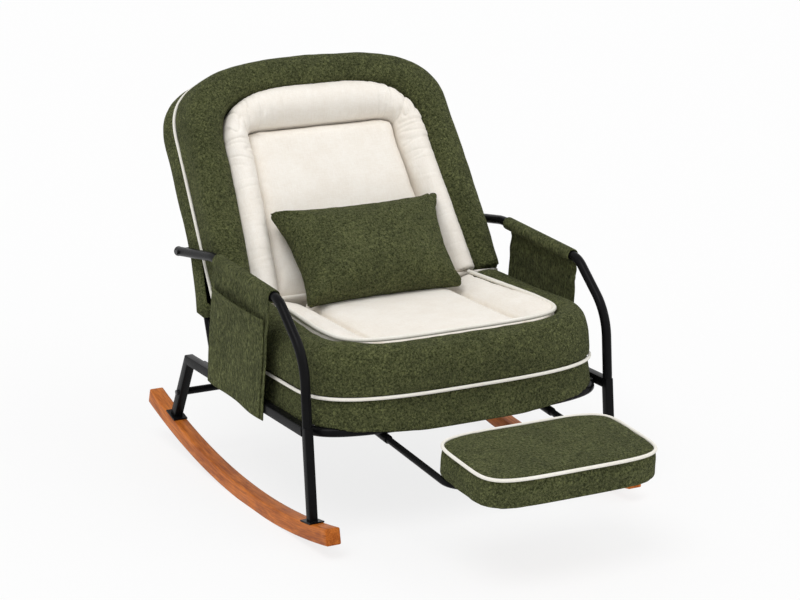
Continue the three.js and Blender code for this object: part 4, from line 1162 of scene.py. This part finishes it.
# %% [markdown]
# ## Seat
# The seat is two cushions high. The lower one is a plain box with a rounded front. On it lies a
# green border whose front bulges over the piping, round a cream field of three pads: a flat
# one in the middle and a bolster on each side that rises outwards like a wedge.

# %% Seat outlines
SEAT_HALF, SEAT_DEPTH, BASE_DEPTH, SEAT_CORNER = 334, 446, 546, 172
FIELD_DEPTH = 389


def seat_place(rear_y):
    return lambda x, y, z: Vector((x, rear_y - y, z))


def seat_outline(inset):
    sides = [(SEAT_HALF - inset, 0), (SEAT_HALF - inset, SEAT_DEPTH - SEAT_CORNER)]
    return arch(sides, SEAT_DEPTH - inset, FULL_CORNER)


def seat_cream_outline(inset):
    return arch([(238 - inset, 0), (258 - inset, FIELD_DEPTH - 150)], FIELD_DEPTH - inset, 4.4)


def seat_room(low, high):
    """Room to swell that grows upwards and stops before the back."""
    return lambda p: eased(p.z, low, high) * (1 - eased(p.y, -40, -6))


top_place = seat_place(-4)
print("seat", SEAT_DEPTH, "deep at the top and", BASE_DEPTH, "at the base")

# %% Lower seat cushion
LIP_DROP, SAG_DROP, SIDE_DROP = 21, 10, 5
base_rings = [
    (1, 0), (1.01, 0.03), (1.013, 0.12), (1.01, 0.4), (1.003, 0.7), (0.995, 0.9), (0.98, 1)
]


def base_room(point):
    return eased(point.z, 236, 250) * (1 - eased(point.z, 276, 290)) * (1 - eased(point.y, 20, 60))


def hoop_front(x):
    """The hoop's front edge at a place across."""
    share = max(1 - (min(abs(x), HOOP_HALF) / HOOP_HALF) ** HOOP_POWER, 0) ** (1 / HOOP_POWER)
    return HOOP_REAR_Y - HOOP_SIDE - (HOOP_DEPTH - HOOP_SIDE) * share - (TUBE_RADIUS + 0.5)


def base_lift(point):
    """The front edge hangs before the hoop, and the foam sags inside it between the straps."""
    x, ahead = abs(point.x), hoop_front(point.x) - point.y
    lip = eased(ahead, -5, 7) * (1 - 0.4 * eased(x, 100, 260))
    strap = min(abs(point.y - y) for y in STRAP_YS)
    free = eased(strap, 45.2, 47) * eased(abs(point.y - GUIDE_BAR_Y), 9.5, 11)
    free *= 1 - eased(point.y, 90, 118)
    sag = SAG_DROP * eased(min(316 - x, -ahead - 23), 0, 3) * free
    sag *= eased(abs(x - SLIDE_HALF), 10, 14)
    corner = eased(x, 225, 275) * eased(ahead, -24, -12)
    side = SIDE_DROP * max(eased(x, 312, 326), corner)
    return -(LIP_DROP * lip + sag + side) * (1 - eased(point.z, 236, 264))


def base_surface(point):
    level = point.z
    return 1.2 * wander(point, 80, 1) * eased(level, 238, 255) * (1 - eased(level, 275, 288))


sides = [(322, 0), (322, 50), (SEAT_HALF, 80), (SEAT_HALF, BASE_DEPTH - SEAT_CORNER)]
base_outline = arch(sides, BASE_DEPTH, FULL_CORNER, 5)
cushion(
    "lower_seat_cushion", stacked_rings(base_outline, base_rings, 233, 290.8, seat_place(96)),
    green_chenille, "seat_base_cushion", (7, 3, 5), base_room, base_surface,
    lift=base_lift,
)

# %% Green border of the seat
seat_section = [
    (0, 291.6), (0.45, 291.6), (0.9, 291.6), (1.0, 294), (1.01, 308), (0.99, 332), (0.95, 352),
    (0.88, 372), (0.76, 388), (0.6, 396), (0.42, 398.5), (0.26, 397.6), (0.12, 393.6),
    (0.02, 386.5), (0, 370), (0, 330),
]
rings = border_rings(seat_cream_outline(-0.5), seat_outline(1), seat_section, top_place)
cushion(
    "green_seat_border", rings, green_chenille, "seat_border", (7, 3, 4.5), seat_room(300, 335),
    lambda p: uneven(p, (1.4, 75, 2), (0.7, 26, 4)) * eased(p.z, 295, 320),
)

# %% Cream pads of the seat
PAD_SEAM = 170
pad_shares = [
    (0.99, 0), (1, 0.2), (1, 0.88), (0.988, 0.95), (0.95, 0.985), (0.75, 1.005), (0.45, 1.015)
]


def slice_of(outline, low, high):
    """The part of an arch outline between two places across."""
    def height(x):
        i = next(i for i, p in enumerate(outline) if p[0] >= x)
        (ax, ay), (bx, by) = outline[i - 1], outline[i]
        return ay + (by - ay) * (x - ax) / (bx - ax)

    inside = [p for p in outline if low < p[0] < high]
    if low > outline[0][0]:
        inside = [(low, 0), (low, height(low)), *inside]
    if high < outline[-1][0]:
        inside = [*inside, (high, height(high)), (high, 0)]
    return inside


def bolster_slope(point):
    """Lowers a bolster's top at its inner seam and raises it at the green border."""
    share = min(max((abs(point.x) - PAD_SEAM) / 88, 0), 1)
    return (share * 28 - 14) * eased(point.z, 330, 385)


def pad_surface(point):
    """The pads are a little uneven and drop into the seam between them."""
    seam = 6 * groove(abs(point.x) - PAD_SEAM, 9)
    return (uneven(point, (0.9, 70, 6), (0.4, 22, 9)) - seam) * eased(point.z, 345, 375)


for name, node, low, high, top, lift in (
    ("left_bolster", "seat_bolster_left", -300, -170.3, 390, bolster_slope),
    ("seat_centre", "seat_centre_pad", -169.7, 169.7, 382, None),
    ("right_bolster", "seat_bolster_right", 170.3, 300, 390, bolster_slope),
):
    field = slice_of(seat_cream_outline(0.7), low, high)
    cushion(
        name, stacked_rings(field, pad_shares, 291.7, top, top_place), cream_cloth, node,
        (6, 2, 4), seat_room(345, 378), pad_surface, lift=lift,
    )

# %% Seat pipings
seam = [top_place(x, y, 291.5) for x, y in seat_outline(0.8)]
piped("seat_seam_piping", seam, ["seat_piping"])
edge = [top_place(x, y, 395.5) for x, y in seat_cream_outline(0.5)]
piped("seat_field_edge", edge, (), 4.6, 12)
print("two pipings")

# %% [markdown]
# ## Lumbar pillow
# A loose pillow is two flat panels sewn round the edge and filled, so it is fat in the middle
# and thin at the seam, and its corners stay out as points while its sides draw in.

# %% Lumbar pillow
PILLOW_WIDE, PILLOW_HIGH, PILLOW_THICK = 190, 118, 58
PILLOW_MIDDLE = Vector((0, 10.75, 476.79))
PILLOW_TURN = Matrix.Rotation(math.radians(90 - 48), 3, "X")
PILLOW_SAG = 8
PILLOW_LEVELS = 26


def pillow_ring(level, count=112):
    """One ring of the pillow, level from -1 at the rear face to 1 at the front."""
    spread = max(math.cos(level * math.pi / 2), 0.02) ** 0.6
    rise = math.sin(level * math.pi / 2)
    places = []
    for k in range(count):
        angle = 2 * math.pi * k / count
        c, s = math.cos(angle), math.sin(angle)
        reach = 1 / max(abs(c), abs(s))
        corner = (reach - 1) / (math.sqrt(2) - 1)
        out = spread * reach * (0.925 + 0.09 * corner**1.6)
        x, y = out * c * PILLOW_WIDE, out * s * PILLOW_HIGH
        x += 0.14 * y * eased(x, -60, 180)
        pinch = 1 - 0.35 * corner**2 * spread**3
        local = Vector((x, y - PILLOW_SAG, rise * PILLOW_THICK * 0.96 * pinch))
        places.append(PILLOW_MIDDLE + PILLOW_TURN @ local)
    return places


def pillow_local(point):
    return PILLOW_TURN.transposed() @ (point - PILLOW_MIDDLE)


def pillow_room(point):
    local = pillow_local(point)
    middle = 1 - eased(math.hypot(local.x / PILLOW_WIDE, local.y / PILLOW_HIGH), 0.8, 1.2)
    return eased(local.z, -30, 5) * (0.25 + 0.75 * eased(point.z, 395, 430)) * middle


def pillow_surface(point):
    """Uneven, with short folds that run from each corner towards the middle."""
    local = pillow_local(point)
    across, up = PILLOW_WIDE - abs(local.x), PILLOW_HIGH - abs(local.y + PILLOW_SAG)
    near = groove(math.hypot(across, up), 60)
    folds = 2.2 * near * math.sin(math.atan2(up, across) * 9 + local.x / 60)
    return uneven(point, (1.4, 55, 5), (0.7, 20, 3)) + folds


rings = [pillow_ring(-1 + 2 * k / PILLOW_LEVELS) for k in range(PILLOW_LEVELS + 1)]
cushion(
    "loose_lumbar_pillow", rings, green_chenille, "lumbar_pillow", (4, 1, 5), pillow_room,
    pillow_surface, body="pillow",
)

# %% [markdown]
# ## Arm covers
# Each arm has one piece of cloth, wrapped round the tube as a sleeve and left hanging outside
# it, with a pocket sewn on. A grid of cloth is laid on that path: one way runs along the arm,
# the other round the tube and down. The hem waves a little, and Solidify gives the thickness.

# %% Arm covers and pockets
COVER_FRONT_Y, COVER_REAR_Y = -249, 19
COVER_HANG, COVER_SKEW = 270, 22
SLEEVE_RADIUS, WRAP = 13, math.radians(316)
SLEEVE_LENGTH = SLEEVE_RADIUS * WRAP
POCKET_TOP, POCKET_WIDTH, POCKET_SHARE = 50, 250, 0.93
POCKET_LENGTH = COVER_HANG - 4 - POCKET_TOP
arm_way = Vector((0, 1, ARM_SLOPE)).normalized()
arm_over = Vector((0, -arm_way.z, arm_way.y))
cover_length = (COVER_REAR_Y - COVER_FRONT_Y) / arm_way.y
cover_drop = SLEEVE_LENGTH + COVER_HANG


def cloth_grid(columns, rows, place):
    """A grid of cloth, each crossing moved to place(share along, share down)."""
    bm = bmesh.new()
    bmesh.ops.create_grid(bm, x_segments=columns, y_segments=rows, size=1)
    for vertex in bm.verts:
        vertex.co = place((vertex.co.x + 1) / 2, (vertex.co.y + 1) / 2)
    bmesh.ops.recalc_face_normals(bm, faces=bm.faces[:])
    return bm


def on_arm(sign, along, out, up):
    """A place beside the arm: share along the cover, distance out and distance up."""
    y = COVER_FRONT_Y + along * (COVER_REAR_Y - COVER_FRONT_Y)
    middle = Vector((sign * HALF_SPREAD, y, ARM_FRONT[1] + (y - ARM_FRONT[0]) * ARM_SLOPE))
    down = max(-up - SLEEVE_RADIUS, 0) / COVER_HANG
    wave = 2.6 * math.sin(along * 9.5 + 0.6 + sign) * down * down
    wave += 2.2 * noise.noise(Vector((along * 3.4, up / 90, 5 * sign))) * eased(down, 0, 0.3)
    skew = arm_way * (COVER_SKEW * down)
    return middle + Vector((sign * (out + wave), 0, 0)) + arm_over * up + skew


def cover_place(sign):
    def place(along, down):
        drop = down * cover_drop - SLEEVE_LENGTH
        if drop < 0:
            angle = -drop / SLEEVE_RADIUS
            out, up = SLEEVE_RADIUS * math.cos(angle), SLEEVE_RADIUS * math.sin(angle)
            return on_arm(sign, along, out, up)
        seam = 4 * groove(drop - 21, 6) + 3 * groove(drop - 56, 16)
        seam += 1.2 * groove(along * cover_length - 7, 2.4)
        return on_arm(sign, along, SLEEVE_RADIUS - seam, -drop)

    return place


def pocket_place(sign):
    def place(along, down):
        mouth = 10 * max(math.sin(math.pi * along), 0) ** 0.6 * (1 - down) ** 3
        below = down * POCKET_LENGTH
        hem = 1.3 * groove(below - 6, 5) - 1.1 * groove(below - 15, 2.5)
        edge = 1.2 * groove(min(along, 1 - along) * POCKET_WIDTH - 2, 3)
        share = 0.035 + POCKET_SHARE * along
        out = SLEEVE_RADIUS + 3.8 + mouth + hem - edge
        return on_arm(sign, share, out, -(POCKET_TOP + below))

    return place


for side, sign in SIDES:
    grid = cloth_grid(64, 62, cover_place(sign))
    cover = piece(f"{side}_arm_sleeve", grid, pocket_chenille, [f"arm_cover_{side}"], 0)
    dressed(cover, 3.0)
    grid = cloth_grid(56, 52, pocket_place(sign))
    pocket = piece(f"{side}_side_pocket", grid, pocket_chenille, [f"arm_pocket_{side}"], 0)
    dressed(pocket, 2.4)
print("cover is cut", round(cover_length), "by", round(cover_drop), "mm")

# %% [markdown]
# ## Footrest
# The footrest is a boxed pad on a plywood board. Two plastic clips hold the board on the cross
# tube of the slide, and the pad turns about that tube. Its places are given from that axis,
# turned by the slide's five degrees.

# %% Footrest
REST_TURN = Matrix.Rotation(FALL, 3, "X")
REST_AXIS = Vector((0, REST_AXIS_Y, slide_z(REST_AXIS_Y)))
REST_MIDDLE_Y, REST_SEAM = -31.5, 68


def on_rest(x, y, z):
    return REST_AXIS + REST_TURN @ Vector((x, y, z))


def rest_level(point):
    return (REST_TURN.transposed() @ (point - REST_AXIS)).z


def pad_outline(half_x, half_y, power=5, steps=96):
    outline = []
    for k in range(steps):
        angle = 2 * math.pi * (k + 0.5) / steps
        c, s = math.cos(angle), math.sin(angle)
        outline.append((
            half_x * math.copysign(abs(c) ** (2 / power), c),
            REST_MIDDLE_Y + half_y * math.copysign(abs(s) ** (2 / power), s),
        ))
    return outline


def rest_room(point):
    level = rest_level(point)
    swell = eased(level, 10, 24) * (1 - 0.9 * groove(level - REST_SEAM, 6))
    return swell * (1 - 0.5 * eased(level, 66, 73))


def rest_surface(point):
    return uneven(point, (1.0, 60, 4), (0.5, 20, 1)) * eased(rest_level(point), 10, 20)


rest_shares = [
    (0.972, 0), (0.99, 0.03), (1, 0.1), (1, 0.42), (0.998, 0.72), (0.985, 0.8), (0.97, 0.85),
    (0.965, 0.93), (0.935, 0.965), (0.85, 0.985), (0.65, 1.0), (0.35, 1.01),
]
cushion(
    "footrest_cushion", stacked_rings(pad_outline(200, 118.5), rest_shares, 8.6, 74.4, on_rest),
    green_chenille, "footrest_pad", (5.5, 2, 4), rest_room, rest_surface, body="footrest",
)
seam = [on_rest(x, y, REST_SEAM) for x, y in pad_outline(196, 116.5)]
piped("footrest_seam_piping", seam, ["footrest_piping"], joined=True, body="footrest")

# %% [markdown]
# ## What stays of the solids
# Bolts, foot plates, the plywood board and the clips are right as they are: they are small and
# hard, so they only need their finishes.

# %% Finishes for the nodes that stay
KEPT = {
    "bolt": zinc_bolt, "foot_plate": frame_steel, "footrest_clip": black_plastic,
    "footrest_board": plywood,
}
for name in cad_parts:
    for words, finish in KEPT.items():
        if words in name:
            finished(name, finish)
print("kept", sum(not o.hide_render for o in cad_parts.values()), "nodes")

# %% [markdown]
# ## Floor and light
# The photograph has a white floor with faint, soft shadows. The floor is a large near-white
# sheet, and the sky and two broad lamps light it at a plain level. To the camera, and in
# reflections, most of the floor and all of the sky is plain white by Light Path. That adds no
# light to the chair, and the rest of the floor's shading keeps the shadow.


# %% Floor
WHITE = (1, 1, 1, 1)
WHITE_SHARE = 0.8
FLOOR_HALF = 30


def floor_finish():
    floor = Finish("floor", Roughness=0.9, Specular_IOR_Level=0.1)
    worn = floor.cloud(400, 2)
    floor.wear("Base Color", floor.mixed(worn, (0.895, 0.895, 0.90), (0.905, 0.905, 0.905)))
    paper = floor.add("ShaderNodeEmission", None, {"Color": WHITE, "Strength": 1.0})
    floor.ended("Material Output", floor.white_rays() * WHITE_SHARE, floor.shader, paper)
    return floor.material


bm = bmesh.new()
bmesh.ops.create_grid(bm, x_segments=1, y_segments=1, size=FLOOR_HALF)
floor = mesh_object("floor", bm, floor_finish())
print("floor", floor.dimensions.x, "m wide")

# %% Light
SKY_STRENGTH = 0.62
world = bpy.data.worlds.new("studio")
bpy.context.scene.world = world
world.use_nodes = True
sky = Nodes(world.node_tree)
plain = sky.tree.nodes["Background"]
plain.inputs["Color"].default_value = WHITE
plain.inputs["Strength"].default_value = SKY_STRENGTH
white = sky.add("ShaderNodeBackground", None, {"Color": WHITE, "Strength": 1.0})
sky.ended("World Output", sky.white_rays(), plain, white)


def lamp(name, strength, spread, turn, tilt):
    """A far lamp that shines evenly. Turn is round the chair and tilt above the floor."""
    data = bpy.data.lights.new(name, "SUN")
    data.energy = strength
    data.angle = math.radians(spread)
    made = linked(name, data)
    made.rotation_euler = facing(turn, tilt).to_track_quat("Z", "Y").to_euler()


lamp("key", 1.15, 35, -55, 62)
lamp("fill", 0.45, 60, 40, 40)
print("two lamps and a sky")

# %% [markdown]
# ## Last steps
# The picture keeps plain colours, so the view transform is Standard.

# %% Finish
bpy.context.scene.view_settings.view_transform = "Standard"
